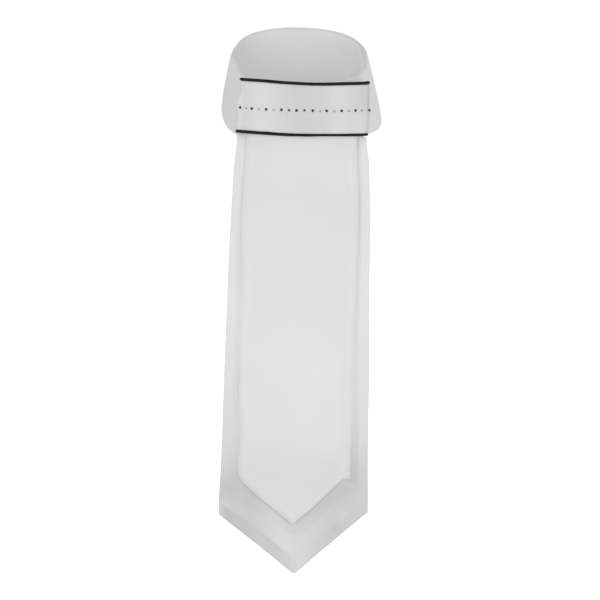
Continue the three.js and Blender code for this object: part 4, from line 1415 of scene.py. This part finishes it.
# %% Stones: the cut
JET_CUT = {"diameter": 2.3, "girdle": 0.25, "height": 0.95, "table": 0.5}
CLEAR_CUT = {"diameter": 2.1, "girdle": 0.25, "height": 0.90, "table": 0.5}
SHOULDER = 0.80
TABLE_AT, STARS_AT, GIRDLE_AT, BACK_AT = 0, 8, 16, 32


def circle(count, reach, height, start=0.0):
    """Corners at even turns round a circle."""
    turns = [start + 2 * math.pi * k / count for k in range(count)]
    return [(reach * math.cos(turn), reach * math.sin(turn), height) for turn in turns]


def cut_stone(name, cut):
    """A stone that stands on the plane z = 0, in millimetres, with its table upward."""
    radius, girdle, height = cut["diameter"] / 2, cut["girdle"], cut["height"]
    table, shoulder = cut["table"] * radius, SHOULDER * radius
    fall = (shoulder * math.cos(math.pi / 8) - table) / (radius - table)
    points = circle(8, table, height, math.pi / 8) + circle(8, shoulder, height - fall * (height - girdle))
    points += circle(16, radius, girdle) + circle(16, radius, 0.0)
    faces = [tuple(TABLE_AT + k for k in range(8)), tuple(BACK_AT + k for k in range(16))[::-1]]
    for k in range(8):
        star, rim = STARS_AT + k, GIRDLE_AT + 2 * k
        faces.append((TABLE_AT + (k - 1) % 8, star, TABLE_AT + k))
        faces.append((TABLE_AT + k, star, rim + 1, STARS_AT + (k + 1) % 8))
        faces.append((star, rim, rim + 1))
        faces.append((star, GIRDLE_AT + (2 * k - 1) % 16, rim))
    for k in range(16):
        after = (k + 1) % 16
        faces.append((GIRDLE_AT + k, BACK_AT + k, BACK_AT + after, GIRDLE_AT + after))
    return link_mesh(name, points, faces, smooth=False)


print("corners of a stone:", BACK_AT + 16)

# %% [markdown]
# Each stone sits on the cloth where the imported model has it, turned to face straight out of the keeper's
# curve. Hand-set stones aren't in a perfect row, so each sits up to UNEVEN millimetres higher or lower and
# is tipped and turned a little by its own angle, and four of them sit about a millimetre to one side.

# %% Stones: set in a row
FIRST_STONE_AT, SUNK, UNEVEN, TIPPED = -52.2, 0.06, 0.15, 0.03
STONE_MOVES = {"clear_stone_01": 1.2, "jet_stone_06": 1.0, "clear_stone_06": 1.2, "jet_stone_10": -1.0}
# These two clear stones get the near black foil, a painted dark reflection.
DARK_REFLECTION_FOILS = ("clear_stone_04", "clear_stone_05")
face_line = keeper_line(0.0, KEEPER_BACK_FACE, turn=math.pi / 2, closed=False)


def on_the_face(middle):
    """The nearest place on the keeper's outer line in plan, past its left fold, and the outward direction."""
    reach = np.hypot(face_line[:, 0] - middle.x, face_line[:, 1] - middle.y)
    k = int(np.argmin(np.where(face_line[:, 0] < FIRST_STONE_AT, np.inf, reach)))
    k = min(max(k, 1), len(face_line) - 2)
    along = face_line[k + 1] - face_line[k - 1]
    return face_line[k], np.array([along[1], -along[0]]) / np.linalg.norm(along)


def seat_stone(node, dice):
    """Where a stone stands and how it is turned, in metres."""
    low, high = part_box(node)
    middle = (low + high) / 2 / MM
    middle.x += STONE_MOVES.get(node, 0.0)
    place, outward = on_the_face(middle)
    height = middle.z + dice.uniform(-UNEVEN, UNEVEN)
    share = np.array(0.5 + (height - KEEPER_LEVEL) / (2 * KEEPER_HALF_HEIGHT))
    seat = float(keeper_relief(place[0], share)) * (abs(place[0]) < KEEPER_FRONT_END) - SUNK
    aside = Vector((float(keeper_shift(place[0], share)), 0.0, 0.0))
    base = Vector((*(place + outward * seat), height)) + aside
    facing = Vector((outward[0], outward[1], dice.uniform(-TIPPED, TIPPED))).normalized()
    spin = Matrix.Rotation(dice.uniform(0, math.pi / 4), 4, "Z")
    return Matrix.Translation(base * MM) @ facing.to_track_quat("Z", "Y").to_matrix().to_4x4() @ spin


dice = np.random.default_rng(7)
stone_names = [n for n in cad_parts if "_stone_" in n]
for node in sorted(stone_names, key=lambda n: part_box(n)[0].x):
    dark = node.startswith("jet")
    stone = cut_stone(node + "_cut", JET_CUT if dark else CLEAR_CUT)
    stone.data.transform(seat_stone(node, dice))
    glass, slot = (jet_glass, "jet_stone") if dark else (clear_glass, "clear_stone")
    dress(stone, glass, node)
    if not dark:
        stone.data.materials.append(dark_reflection_foil if node in DARK_REFLECTION_FOILS else mirror_foil)
        stone.data.polygons[1].material_index = 1
print("stones set:", len(stone_names))
